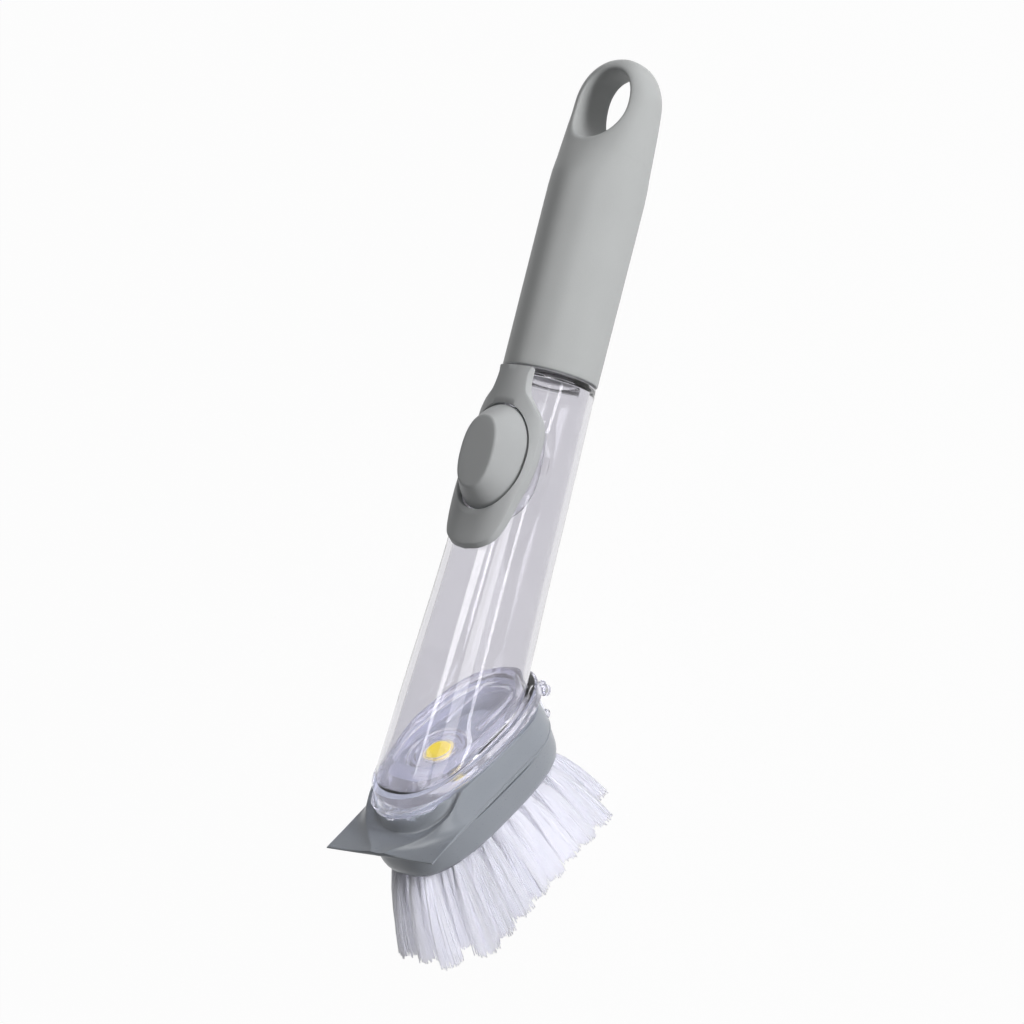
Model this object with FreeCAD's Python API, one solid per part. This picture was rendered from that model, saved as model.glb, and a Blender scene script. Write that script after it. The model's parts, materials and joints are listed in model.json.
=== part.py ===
import FreeCAD, Part
import math
import os

from FreeCAD import Placement, Rotation, Vector

# A dish wand: a clear soap tube with a pump button on its front, a screw-on handle with a hang hole,
# and a clip-on brush head with a scraper at its toe. All lengths are in millimetres, angles in degrees.
# Tool frame: x runs from the handle's rim to its end, z to the button side, y across.
# Head frame: x runs from the toe to the heel of the head, z out of the head towards the tube, y across.

# Handle grip
grip_length = 99.8
grip_rim_radius = 14.7
grip_shoulder_radius = 14.95
grip_cavity_margin = 6.0
loop_length = 39.8
loop_half_width = 15.1
loop_lift = 1.2
hang_hole_radius = 10.0
hang_hole_land = 4.5
hang_hole_rounding = 1.6

# Threaded plug, gasket and neck
neck_radius = 10.4
neck_bore_radius = 8.2
neck_length = 11.0
thread_clearance = 0.35
plug_wall = 1.7
plug_floor = 1.8
gasket_thickness = 1.4
seal_gap = 0.1
seat_clearance = 0.05

# Soap tube
rim_gap = 0.5
collar_depth = 7.0
tube_wall = 1.8
tube_top_radius = 14.5
tube_middle_place = 57.0
tube_middle_half_width = 15.0
tube_middle_front = 16.6
tube_middle_back = 14.6
tube_low_place = 100.0
tube_low_half_width = 16.5
tube_low_front = 19.0
tube_low_back = 15.0
tube_end_place = 150.0
tube_end_half_width = 18.0
tube_end_front = 21.8
tube_end_back = 15.4
tube_flange_half_length = 30.0
tube_flange_half_width = 17.9
tube_flange_thickness = 1.2
tube_flange_shift = 1.2

# Button, pump cup and bezel
button_place = 29.1
button_half_length = 16.2
button_half_width = 12.1
button_top_half_length = 11.25
button_top_half_width = 7.5
button_top_level = 22.2
button_end_level = 15.6
button_side_level = 12.3
button_wall = 1.6
button_sink = 0.6
button_gap = 0.35
button_edge_rounding = 1.0
cup_wall = 0.8
cup_fit = 0.1
cup_floor_level = 8.0
cup_floor_thickness = 0.9
cup_post_half_length = 6.0
cup_post_half_width = 4.0
opening_level = 5.2
bezel_length = 57.6
bezel_half_width = 14.7
bezel_thickness = 1.5
bezel_bedding = 0.1
bezel_low_level = 7.2

# Clear base with the valve
head_place = 112.0
head_tilt = 40.0
base_top_level = 3.0
base_flange_thickness = 3.7
base_flange_half_length = 31.4
base_flange_half_width = 18.8
base_flange_shift = 0.6
plug_wall_height = 3.0
plug_wall_thickness = 1.4
plug_wall_fit = 0.15
skirt_half_length = 30.4
skirt_half_width = 16.9
skirt_shift = -3.3
skirt_bottom_level = -2.6
skirt_wall = 1.6
valve_place = -7.6
valve_radius = 3.8
valve_flange_radius = 4.8
valve_flange_thickness = 0.8
valve_stem_radius = 3.0
valve_stem_length = 5.0
valve_crown = 0.9
retainer_radius = 9.0
retainer_height = 1.9
retainer_fit = 0.15
valve_seat_depth = 1.8
valve_boss_margin = 1.4
valve_boss_depth = 1.8

# Latch at the heel
latch_pin_place = 30.4
latch_pin_level = -3.3
latch_pin_radius = 0.8
latch_pin_clearance = 0.06
latch_knuckle_radius = 1.8
latch_half_width = 7.6
latch_arm_half_width = 4.6
latch_arm_thickness = 1.5
latch_arm_face = 29.1
latch_tip_level = -13.4
latch_nose_half_width = 4.0
latch_nose_top_level = -9.9
latch_nose_height = 1.2
latch_nose_reach = 27.4
latch_side_gap = 0.3
latch_ear_thickness = 1.6

# Head shell with its scraper
shell_bottom_level = -9.6
shell_top_level = -1.0
shell_half_width = 20.7
shell_top_half_width = 19.0
shell_heel_place = 28.4
shell_heel_radius = 20.0
shell_floor = 3.6
scraper_reach = 42.0
scraper_edge = 0.8
scoop_axis_place = -16.0
scoop_radius = 16.0
scoop_spread = 10.1
scoop_depth = 8.3
scoop_lead = 20.1
scoop_lead_end = 32.0
skirt_clearance = 0.3
channel_half_width = 4.5
channel_depth = 1.3
ledge_height = 1.0
outlet_radius = 3.4

# Bristle plate
plate_gap = 0.6
plate_bottom_level = -22.0
plate_half_length = 32.8
plate_half_width = 19.2
plate_bottom_half_width = 16.2
plate_edge_height = 3.0
plate_heel_inset = 0.6
spigot_end_margin = 4.8
spigot_side_margin = 2.2
spigot_clearance = 0.2
notch_clearance = 0.4

# Bristles
tuft_rows = 10
tuft_columns = 5
tuft_end_margin = 5.35
tuft_side_margin = 4.4
tuft_margin = 2.0
tuft_hole_radius = 1.75
tuft_root_radius = 1.55
tuft_tip_radius = 3.8
tuft_hole_depth = 6.0
tuft_root_depth = 4.0
tuft_toe_level = -49.6
tuft_heel_level = -46.2
tuft_spread_along = 1.32
tuft_spread_across = 1.45
tuft_tip_shift = 0.4
anchor_length = 2.6
anchor_thickness = 0.35
anchor_height = 1.8
anchor_gap = 0.1

# Shared
cut_overrun = 5.0
oval_power = 2.3
plate_power = 2.8
round_power = 2.0
loop_power = 2.6
tube_front_power = 3.0
tube_back_power = 2.2
oval_points = 32
tube_steps = 8
settling_rounds = 5

# Loop of the handle: place from the shoulder to the end, half width, half thickness, lift and squareness, as shares
loop_shares = (
    (0.153, 0.992, 0.883, 0.0, 0.2),
    (0.302, 0.997, 0.749, 0.0, 0.7),
    (0.452, 1.003, 0.656, 0.0, 1.0),
    (0.603, 1.000, 0.589, 0.1, 1.0),
    (0.754, 0.940, 0.508, 0.3, 1.0),
    (0.864, 0.788, 0.428, 0.6, 1.0),
    (0.940, 0.556, 0.328, 0.9, 1.0),
    (0.982, 0.305, 0.207, 1.0, 1.0),
    (0.998, 0.126, 0.107, 1.0, 1.0),
)

# Bezel outline: place along its length and half width, as shares
bezel_shares = (
    (0.000, 0.410),
    (0.135, 0.585),
    (0.220, 0.816),
    (0.330, 0.960),
    (0.470, 1.000),
    (0.650, 0.973),
    (0.830, 0.878),
    (0.935, 0.690),
    (0.985, 0.380),
)

# Flank of the head shell: place along the flank, top half width and top height, as shares
flank_shares = (
    (0.000, 0.078, 0.116),
    (0.095, 0.078, 0.173),
    (0.200, 0.078, 0.401),
    (0.310, 0.088, 0.820),
    (0.357, 0.212, 1.000),
    (0.405, 0.429, 1.000),
    (0.460, 0.683, 1.000),
    (0.548, 0.893, 1.000),
    (0.667, 0.959, 1.000),
    (0.810, 0.993, 1.000),
    (1.000, 1.000, 1.000),
)

# Scoop round the toe: spread and depth of its trumpet profile, as shares
scoop_shares = (
    (0.000, 0.000),
    (0.040, 0.398),
    (0.139, 0.631),
    (0.446, 0.816),
    (0.673, 0.903),
    (1.000, 1.000),
)


def oval_outline(half_a, half_up, half_down, power_up, power_down):
    """Points of a closed superellipse, with its own height and power above and below its middle."""
    outline = []
    for step in range(oval_points):
        angle = 2 * math.pi * step / oval_points
        cosine = math.cos(angle)
        sine = math.sin(angle)
        power = power_up if sine >= 0 else power_down
        half_b = half_up if sine >= 0 else half_down
        reach = (abs(cosine / half_a) ** power + abs(sine / half_b) ** power) ** (-1 / power)
        outline.append((reach * cosine, reach * sine))
    return outline


def closed_wire(points):
    """A smooth closed wire through points, with the same even run of parameters on every wire."""
    curve = Part.BSplineCurve()
    curve.interpolate(Points=points, PeriodicFlag=True, Parameters=list(range(len(points) + 1)))
    return Part.Wire(curve.toShape())


def flat_oval(place, level, half_length, half_width, power):
    """A closed oval wire lying level, centred on the x axis."""
    outline = oval_outline(half_length, half_width, half_width, power, power)
    return closed_wire([Vector(place + a, b, level) for a, b in outline])


def cross_oval(place, half_width, front, back, front_power, back_power, lift=0):
    """A closed oval wire standing across the x axis."""
    outline = oval_outline(half_width, front, back, front_power, back_power)
    return closed_wire([Vector(place, a, b + lift) for a, b in outline])


def prism(wire, height):
    return Part.Face(wire).extrude(Vector(0, 0, height))


def oval_prism(place, bottom, top, half_length, half_width, power):
    return prism(flat_oval(place, bottom, half_length, half_width, power), top - bottom)


def axial_cylinder(radius, start, end):
    return Part.makeCylinder(radius, end - start, Vector(start, 0, 0), Vector(1, 0, 0))


def upright_cylinder(radius, place, bottom, top):
    return Part.makeCylinder(radius, top - bottom, Vector(place, 0, bottom))


def across_cylinder(radius, place, level, start, end):
    return Part.makeCylinder(radius, end - start, Vector(place, start, level), Vector(0, 1, 0))


def block(low, high):
    size = Vector(*high) - Vector(*low)
    return Part.makeBox(size.x, size.y, size.z, Vector(*low))


def side_prism(outline, half_width):
    """A prism with its outline in the x-z plane and its length across."""
    points = [Vector(a, -half_width, b) for a, b in outline]
    face = Part.Face(Part.makePolygon(points + points[:1]))
    return face.extrude(Vector(0, 2 * half_width, 0))


def turned(outline, place):
    """A solid of revolution about the upright axis at a place, from points of radius and level."""
    points = [Vector(place + radius, 0, level) for radius, level in outline]
    face = Part.Face(Part.makePolygon(points + points[:1]))
    return face.revolve(Vector(place, 0, 0), Vector(0, 0, 1), 360)


def one_solid(shape):
    clean = shape.removeSplitter()
    return clean.Solids[0] if len(clean.Solids) == 1 else clean


# Places and pitches on the head that several pieces share
plate_shift = shell_heel_place - plate_heel_inset - plate_half_length
spigot_half_length = plate_half_length - spigot_end_margin
spigot_half_width = plate_half_width - spigot_side_margin
tuft_row_pitch = 2 * (plate_half_length - tuft_end_margin) / (tuft_rows - 1)
tuft_column_pitch = 2 * (plate_bottom_half_width - tuft_side_margin) / (tuft_columns - 1)

head_frame = Placement(Vector(-head_place, 0, 0), Rotation(Vector(0, 1, 0), head_tilt))


def in_tool_frame(shape):
    moved = shape.copy()
    moved.Placement = head_frame.multiply(moved.Placement)
    return moved


# Places along the tool axis that several pieces share
grip_shoulder_place = grip_length - loop_length
grip_cavity_depth = grip_shoulder_place - grip_cavity_margin
hang_hole_place = grip_length - hang_hole_land - hang_hole_radius
collar_top = -rim_gap
collar_bottom = -rim_gap - collar_depth
neck_top = collar_top + neck_length
gasket_bottom = neck_top + seal_gap
gasket_top = gasket_bottom + gasket_thickness
plug_floor_place = gasket_top + seal_gap
plug_end = plug_floor_place + plug_floor
plug_bore_radius = neck_radius + thread_clearance
plug_radius = plug_bore_radius + plug_wall
grip_bore_radius = plug_radius + seat_clearance


def grip_body():
    """The round grip, widening a little to its shoulder, with the loop that thins out to its end."""
    wires = []
    for place_share, width_share, thickness_share, lift_share, square_share in loop_shares:
        power = round_power + (loop_power - round_power) * square_share
        wires.append(cross_oval(
            grip_shoulder_place + loop_length * place_share,
            loop_half_width * width_share,
            grip_shoulder_radius * thickness_share,
            grip_shoulder_radius * thickness_share,
            power, power,
            loop_lift * lift_share))
    shoulder = cross_oval(
        grip_shoulder_place, grip_shoulder_radius, grip_shoulder_radius, grip_shoulder_radius,
        round_power, round_power)
    rim = cross_oval(0, grip_rim_radius, grip_rim_radius, grip_rim_radius, round_power, round_power)
    loop = Part.makeLoft([shoulder] + wires, True, False)
    return Part.makeLoft([rim, shoulder], True, True).fuse(loop)


def handle_grip():
    hole = upright_cylinder(hang_hole_radius, hang_hole_place, -grip_length, grip_length)
    body = grip_body().cut(hole).Solids[0]
    rim = [edge for edge in body.Edges if on_hole_rim(edge)]
    body = body.makeFillet(hang_hole_rounding, rim)
    cavity = axial_cylinder(grip_bore_radius, -cut_overrun, grip_cavity_depth)
    dome = Part.makeSphere(grip_bore_radius, Vector(grip_cavity_depth, 0, 0))
    headroom = grip_bore_radius / 2
    dome = dome.common(axial_cylinder(grip_bore_radius, 0, grip_cavity_depth + headroom))
    return one_solid(body.cut(cavity.fuse(dome)))


def on_hole_rim(edge):
    """True for the curved edges that keep the hang hole's radius all along."""
    if isinstance(edge.Curve, Part.Line):
        return False
    first, last = edge.ParameterRange
    for step in range(1, 5):
        point = edge.valueAt(first + (last - first) * step / 5)
        away = math.hypot(point.x - hang_hole_place, point.y)
        if abs(away - hang_hole_radius) > seat_clearance:
            return False
    return True


def handle_plug():
    body = axial_cylinder(plug_radius, 0, plug_end)
    return body.cut(axial_cylinder(plug_bore_radius, -cut_overrun, plug_floor_place))


def neck_gasket():
    ring = axial_cylinder(neck_radius, gasket_bottom, gasket_top)
    return ring.cut(axial_cylinder(neck_bore_radius, gasket_bottom - cut_overrun, gasket_top + cut_overrun))


def tube_section(place):
    """Half width, front, back and powers of the tube at a place, mixed from the two sections around it."""
    sections = (
        (0, tube_top_radius, tube_top_radius, tube_top_radius, round_power, round_power),
        (tube_middle_place, tube_middle_half_width, tube_middle_front, tube_middle_back,
         tube_front_power, tube_back_power),
        (tube_low_place, tube_low_half_width, tube_low_front, tube_low_back,
         tube_front_power, tube_back_power),
        (tube_end_place, tube_end_half_width, tube_end_front, tube_end_back,
         tube_front_power, tube_back_power),
    )
    pairs = [pair for pair in zip(sections, sections[1:]) if place >= pair[0][0]]
    low, high = pairs[-1]
    share = (place - low[0]) / (high[0] - low[0])
    return [a + (b - a) * share for a, b in zip(low[1:], high[1:])]


def tube_body(inset):
    """The tube's long tapering body, from a round top to a flat-fronted lower end, shrunk by an inset."""
    wires = []
    for step in range(tube_steps + 1):
        place = tube_end_place * step / tube_steps
        half_width, front, back, front_power, back_power = tube_section(place)
        wires.append(cross_oval(
            collar_top - place, half_width - inset, front - inset, back - inset, front_power, back_power))
    return Part.makeLoft(wires, True, False)


def above_base():
    """All the room on the tube's side of the joint between tube and base."""
    room = block(
        (-tube_end_place, -tube_end_place, base_top_level),
        (tube_end_place, tube_end_place, base_top_level + tube_end_place))
    return in_tool_frame(room)


def button_opening():
    return oval_prism(
        -button_place, opening_level, button_top_level,
        button_half_length + button_gap + cup_wall + cup_fit,
        button_half_width + button_gap + cup_wall + cup_fit, oval_power)


def reservoir_tube():
    flange = in_tool_frame(oval_prism(
        tube_flange_shift, base_top_level, base_top_level + tube_flange_thickness,
        tube_flange_half_length, tube_flange_half_width, oval_power))
    body = tube_body(0).common(above_base()).fuse(flange)
    inside = tube_body(tube_wall).cut(axial_cylinder(tube_end_place, collar_bottom, tube_end_place))
    body = body.cut(inside)
    body = body.fuse(axial_cylinder(neck_radius, collar_bottom, neck_top))
    body = body.cut(axial_cylinder(neck_bore_radius, collar_bottom - cut_overrun, neck_top + cut_overrun))
    return one_solid(body.cut(button_opening()))


def bezel_outline():
    side = []
    for place_share, width_share in bezel_shares:
        side.append(Vector(collar_top - bezel_length * place_share, bezel_half_width * width_share, bezel_low_level))
    tongue = [Vector(collar_top - bezel_length, 0, bezel_low_level)]
    mirrored = [Vector(point.x, -point.y, point.z) for point in reversed(side)]
    curve = Part.BSplineCurve()
    curve.interpolate(Points=side + tongue + mirrored)
    closing = Part.LineSegment(mirrored[-1], side[0])
    return Part.Wire([curve.toShape(), closing.toShape()])


def button_bezel():
    shell = tube_body(-bezel_bedding - bezel_thickness).cut(tube_body(-bezel_bedding))
    shell = shell.common(prism(bezel_outline(), button_top_level - bezel_low_level))
    hole = oval_prism(
        -button_place, 0, button_top_level,
        button_half_length + button_gap, button_half_width + button_gap, oval_power)
    return one_solid(shell.cut(hole))


def button_cone(inset):
    """The button's oval frustum on its upright skirt, shrunk by an inset."""
    drop = button_top_level - opening_level
    flare_along = (button_half_length - button_top_half_length) / (button_top_level - button_end_level)
    flare_across = (button_half_width - button_top_half_width) / (button_top_level - button_side_level)
    foot = flat_oval(
        -button_place, opening_level, button_top_half_length + flare_along * drop - inset,
        button_top_half_width + flare_across * drop - inset, oval_power)
    top = flat_oval(
        -button_place, button_top_level - inset, button_top_half_length - inset,
        button_top_half_width - inset, oval_power)
    skirt = oval_prism(
        -button_place, opening_level - cut_overrun, button_top_level + cut_overrun,
        button_half_length - inset, button_half_width - inset, oval_power)
    return Part.makeLoft([foot, top], True, True).common(skirt).Solids[0]


def push_button():
    outer = button_cone(0)
    top = [edge for edge in outer.Edges if edge.BoundBox.ZMin > button_top_level - seat_clearance]
    outer = outer.makeFillet(button_edge_rounding, top)
    return one_solid(outer.cut(button_cone(button_wall)).cut(tube_body(button_sink)))


def pump_cup():
    half_length = button_half_length + button_gap
    half_width = button_half_width + button_gap
    body = oval_prism(
        -button_place, cup_floor_level - cup_floor_thickness, button_top_level,
        half_length + cup_wall, half_width + cup_wall, oval_power)
    inside = oval_prism(-button_place, cup_floor_level, button_top_level, half_length, half_width, oval_power)
    cup = body.cut(inside).common(tube_body(0))
    post = oval_prism(
        -button_place, cup_floor_level, button_top_level - button_wall - seal_gap,
        cup_post_half_length, cup_post_half_width, oval_power)
    return one_solid(cup.fuse(post))


def reservoir_base():
    flange_bottom = base_top_level - base_flange_thickness
    seat_level = base_top_level - valve_seat_depth
    body = oval_prism(
        base_flange_shift, flange_bottom, base_top_level,
        base_flange_half_length, base_flange_half_width, oval_power)
    skirt = oval_prism(
        skirt_shift, skirt_bottom_level, flange_bottom, skirt_half_length, skirt_half_width, oval_power)
    skirt = skirt.cut(oval_prism(
        skirt_shift, skirt_bottom_level, flange_bottom,
        skirt_half_length - skirt_wall, skirt_half_width - skirt_wall, oval_power))
    boss = upright_cylinder(
        retainer_radius + valve_boss_margin, valve_place, flange_bottom - valve_boss_depth, base_top_level)
    body = body.fuse([skirt, boss] + latch_ears() + [plug_wall_ring()])
    seat = upright_cylinder(
        retainer_radius + retainer_fit, valve_place, seat_level, base_top_level + cut_overrun)
    drain = upright_cylinder(
        valve_stem_radius + retainer_fit, valve_place, skirt_bottom_level, base_top_level + cut_overrun)
    pin_hole = across_cylinder(
        latch_pin_radius, latch_pin_place, latch_pin_level, -base_flange_half_width, base_flange_half_width)
    return one_solid(body.cut([seat, drain, pin_hole]))


def plug_wall_ring():
    """A low wall on the base that stands just inside the foot of the tube, in the head frame."""
    outer_inset = tube_wall + plug_wall_fit
    ring = tube_body(outer_inset).cut(tube_body(outer_inset + plug_wall_thickness))
    ring.Placement = head_frame.inverse().multiply(ring.Placement)
    slab = block(
        (-tube_end_place, -tube_end_place, base_top_level),
        (tube_end_place, tube_end_place, base_top_level + plug_wall_height))
    return ring.common(slab)


def latch_ears():
    """Two ears under the heel of the flange that hold the ends of the latch pin."""
    ears = []
    start = latch_half_width + latch_side_gap
    for side_start in (start, -start - latch_ear_thickness):
        lobe = across_cylinder(
            latch_knuckle_radius, latch_pin_place, latch_pin_level,
            side_start, side_start + latch_ear_thickness)
        web = block(
            (latch_pin_place - latch_knuckle_radius, side_start, latch_pin_level),
            (latch_pin_place + latch_knuckle_radius, side_start + latch_ear_thickness,
             base_top_level - base_flange_thickness))
        ears.append(lobe.fuse(web))
    return ears


def latch_pin():
    end = latch_half_width + latch_side_gap + latch_ear_thickness
    return across_cylinder(
        latch_pin_radius - latch_pin_clearance, latch_pin_place, latch_pin_level, -end, end)


def release_latch():
    knuckle = across_cylinder(
        latch_knuckle_radius, latch_pin_place, latch_pin_level, -latch_half_width, latch_half_width)
    arm_back = latch_arm_face + latch_arm_thickness
    nose_bottom_level = latch_nose_top_level - latch_nose_height
    arm = block(
        (latch_arm_face, -latch_arm_half_width, latch_tip_level),
        (arm_back, latch_arm_half_width, latch_pin_level))
    lip = across_cylinder(
        latch_arm_thickness, arm_back, latch_tip_level, -latch_arm_half_width, latch_arm_half_width)
    nose_outline = (
        (latch_nose_reach, latch_nose_top_level),
        (arm_back, latch_nose_top_level),
        (arm_back, nose_bottom_level - latch_arm_thickness),
        (latch_arm_face, nose_bottom_level - latch_arm_thickness / 2),
        (latch_nose_reach, nose_bottom_level),
    )
    nose = side_prism(nose_outline, latch_nose_half_width)
    hole = across_cylinder(
        latch_pin_radius, latch_pin_place, latch_pin_level, -base_flange_half_width, base_flange_half_width)
    return one_solid(knuckle.fuse([arm, lip, nose]).cut(hole))


def dispensing_valve():
    seat_level = base_top_level - valve_seat_depth
    flange_top = seat_level + valve_flange_thickness
    crown_level = seat_level + retainer_height
    tip_level = seat_level - valve_stem_length
    outline = (
        (0, crown_level),
        (valve_radius - valve_crown, crown_level),
        (valve_radius, crown_level - valve_crown),
        (valve_radius, flange_top),
        (valve_flange_radius, flange_top),
        (valve_flange_radius, seat_level),
        (valve_stem_radius, seat_level),
        (valve_stem_radius, seat_level - valve_stem_length / 2),
        (valve_stem_radius / 2, tip_level),
        (0, tip_level),
    )
    return turned(outline, valve_place)


def valve_retainer():
    seat_level = base_top_level - valve_seat_depth
    step_level = seat_level + valve_flange_thickness + retainer_fit
    top_level = seat_level + retainer_height
    bevel = retainer_height / 2
    outline = (
        (valve_flange_radius + retainer_fit, seat_level),
        (retainer_radius, seat_level),
        (retainer_radius, top_level - bevel),
        (retainer_radius - bevel, top_level),
        (valve_radius + retainer_fit, top_level),
        (valve_radius + retainer_fit, step_level),
        (valve_flange_radius + retainer_fit, step_level),
    )
    return turned(outline, valve_place)


def shell_flanks():
    """The shell's outer form: upright side walls that lean inward and sink to a thin blade at the toe."""
    height = shell_top_level - shell_bottom_level
    edge_level = shell_bottom_level + scraper_edge
    wires = []
    for place_share, width_share, height_share in flank_shares + ((None, 1, 1),):
        place = shell_heel_place if place_share is None else scraper_reach * (place_share - 1)
        top_half_width = shell_top_half_width * width_share
        top_level = shell_bottom_level + height * height_share
        half = (
            (shell_half_width, shell_bottom_level),
            (shell_half_width, edge_level),
            (top_half_width, top_level),
        )
        points = [Vector(place, y, z) for y, z in half]
        points += [Vector(place, -y, z) for y, z in reversed(half)]
        wires.append(Part.makePolygon(points + points[:1]))
    return Part.makeLoft(wires, True, True)


def heel_outline():
    """Everything in front of the shell's rounded heel, as an upright prism."""
    straight = shell_heel_place - shell_heel_radius
    bottom = shell_bottom_level - cut_overrun
    top = shell_top_level + cut_overrun
    corner = shell_half_width - shell_heel_radius
    room = block((-scraper_reach, -shell_half_width, bottom), (straight, shell_half_width, top))
    heel = block((straight, -corner, bottom), (shell_heel_place, corner, top))
    rounds = []
    for y in (-corner, corner):
        rounds.append(Part.makeCylinder(shell_heel_radius, top - bottom, Vector(straight, y, bottom)))
    return room.fuse([heel] + rounds)


def toe_scoop():
    """The hollow that sweeps round the clear toe and runs out on the scraper's edge."""
    outer_radius = 2 * scraper_reach
    outline = []
    for spread_share, depth_share in scoop_shares:
        outline.append((scoop_radius + scoop_spread * spread_share, shell_top_level - scoop_depth * depth_share))
    outline.append((outer_radius, shell_top_level - scoop_depth))
    outline.append((outer_radius, shell_top_level + cut_overrun))
    outline.append((scoop_radius, shell_top_level + cut_overrun))
    trumpet = turned(outline, scoop_axis_place)
    lead_slope = (scoop_lead_end - scoop_lead) / scoop_depth
    lead = (
        (-scoop_lead + lead_slope * cut_overrun, shell_top_level + cut_overrun),
        (-scoop_lead_end - lead_slope * cut_overrun, shell_top_level - scoop_depth - cut_overrun),
        (-outer_radius, shell_top_level - scoop_depth - cut_overrun),
        (-outer_radius, shell_top_level + cut_overrun),
    )
    return trumpet.common(side_prism(lead, outer_radius))


def head_shell():
    body = shell_flanks().common(heel_outline()).cut(toe_scoop())
    pocket_level = skirt_bottom_level - skirt_clearance
    pocket = oval_prism(
        skirt_shift, pocket_level, shell_top_level + cut_overrun,
        skirt_half_length + skirt_clearance, skirt_half_width + skirt_clearance, oval_power)
    underside = oval_prism(
        plate_shift, shell_bottom_level - cut_overrun, pocket_level - shell_floor,
        spigot_half_length + spigot_clearance, spigot_half_width + spigot_clearance, plate_power)
    outlet = upright_cylinder(
        valve_stem_radius + skirt_clearance, valve_place, shell_bottom_level, shell_top_level)
    channel = block(
        (shell_heel_place - channel_depth, -channel_half_width, shell_bottom_level + ledge_height),
        (shell_heel_place + cut_overrun, channel_half_width, shell_top_level + cut_overrun))
    return one_solid(body.cut([pocket, underside, outlet, channel]))


def tuft_places():
    """Root places of the tufts, row by row, inside the plate's lower oval and clear of the soap outlet."""
    rows = []
    for row in range(tuft_rows):
        along = plate_shift + tuft_row_pitch * (row - (tuft_rows - 1) / 2)
        tufts = []
        for column in range(tuft_columns):
            across = tuft_column_pitch * (column - (tuft_columns - 1) / 2)
            reach_along = abs(along - plate_shift) / (plate_half_length - tuft_margin)
            reach_across = abs(across) / (plate_bottom_half_width - tuft_margin)
            inside = reach_along ** plate_power + reach_across ** plate_power <= 1
            clear = math.hypot(along - valve_place, across) > outlet_radius + tuft_hole_radius
            if inside and clear:
                tufts.append((along, across))
        rows.append(tufts)
    return rows


def bristle_plate():
    shoulder_level = shell_bottom_level - plate_gap
    spigot_level = skirt_bottom_level - skirt_clearance - shell_floor - spigot_clearance
    edge_level = plate_bottom_level + plate_edge_height
    wires = [
        flat_oval(plate_shift, shoulder_level, plate_half_length, plate_half_width, plate_power),
        flat_oval(plate_shift, edge_level, plate_half_length,
                  (plate_half_width + plate_bottom_half_width) / 2, plate_power),
        flat_oval(plate_shift, plate_bottom_level, plate_half_length - plate_edge_height / 2,
                  plate_bottom_half_width, plate_power),
    ]
    body = Part.makeLoft(wires, True, True)
    body = body.fuse(oval_prism(
        plate_shift, shoulder_level, spigot_level, spigot_half_length, spigot_half_width, plate_power))
    cuts = [upright_cylinder(outlet_radius, valve_place, plate_bottom_level - cut_overrun, cut_overrun)]
    for along, across in [place for row in tuft_places() for place in row]:
        cuts.append(Part.makeCylinder(
            tuft_hole_radius, tuft_hole_depth + cut_overrun,
            Vector(along, across, plate_bottom_level - cut_overrun)))
    nose_room = latch_nose_half_width + notch_clearance
    cuts.append(block(
        (latch_nose_reach - notch_clearance, -nose_room,
         latch_nose_top_level - latch_nose_height - latch_arm_thickness - notch_clearance),
        (latch_pin_place, nose_room, shoulder_level + cut_overrun)))
    return one_solid(body.cut(cuts))


def tuft(along, across):
    """One tuft: a round bundle held in its hole that fans out towards its cut end."""
    root = Vector(along, across, plate_bottom_level)
    row_share = (along - plate_shift) / (tuft_row_pitch * (tuft_rows - 1)) + 1 / 2
    tip = Vector(
        plate_shift + (along - plate_shift) * tuft_spread_along + tuft_tip_shift,
        across * tuft_spread_across,
        tuft_toe_level + (tuft_heel_level - tuft_toe_level) * row_share)
    lean = tip - root
    bundle = Part.makeCone(tuft_root_radius, tuft_tip_radius, lean.Length, root, lean)
    held = Part.makeCylinder(tuft_root_radius, tuft_root_depth, root)
    waist = Part.makeSphere(tuft_root_radius, root)
    return bundle.fuse([held, waist])


def bristle_row(tufts):
    return Part.makeCompound([tuft(along, across) for along, across in tufts])


def tuft_anchors():
    """The small flat staples that hold the tufts at the bottom of their holes."""
    low = plate_bottom_level + tuft_root_depth + anchor_gap
    anchors = []
    for along, across in [place for row in tuft_places() for place in row]:
        anchors.append(block(
            (along - anchor_length / 2, across - anchor_thickness / 2, low),
            (along + anchor_length / 2, across + anchor_thickness / 2, low + anchor_height)))
    return Part.makeCompound(anchors)


def build_nodes():
    tool_nodes = {
        "handle_grip": handle_grip(),
        "handle_plug": handle_plug(),
        "neck_gasket": neck_gasket(),
        "reservoir_tube": reservoir_tube(),
        "button_bezel": button_bezel(),
        "push_button": push_button(),
        "pump_cup": pump_cup(),
    }
    head_nodes = {
        "reservoir_base": reservoir_base(),
        "dispensing_valve": dispensing_valve(),
        "valve_retainer": valve_retainer(),
        "latch_pin": latch_pin(),
        "release_latch": release_latch(),
        "head_shell": head_shell(),
        "bristle_plate": bristle_plate(),
        "tuft_anchors": tuft_anchors(),
    }
    for number, tufts in enumerate(tuft_places(), 1):
        head_nodes["bristle_row_%d" % number] = bristle_row(tufts)
    for name, shape in head_nodes.items():
        tool_nodes[name] = in_tool_frame(shape)
    return tool_nodes


def laid_box(shape, tilt):
    """The bounding box of a shape once it is tilted about the y axis."""
    laid = shape.copy()
    laid.Placement = Placement(Vector(0, 0, 0), Rotation(Vector(0, 1, 0), tilt)).multiply(laid.Placement)
    return laid.optimalBoundingBox()


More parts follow.
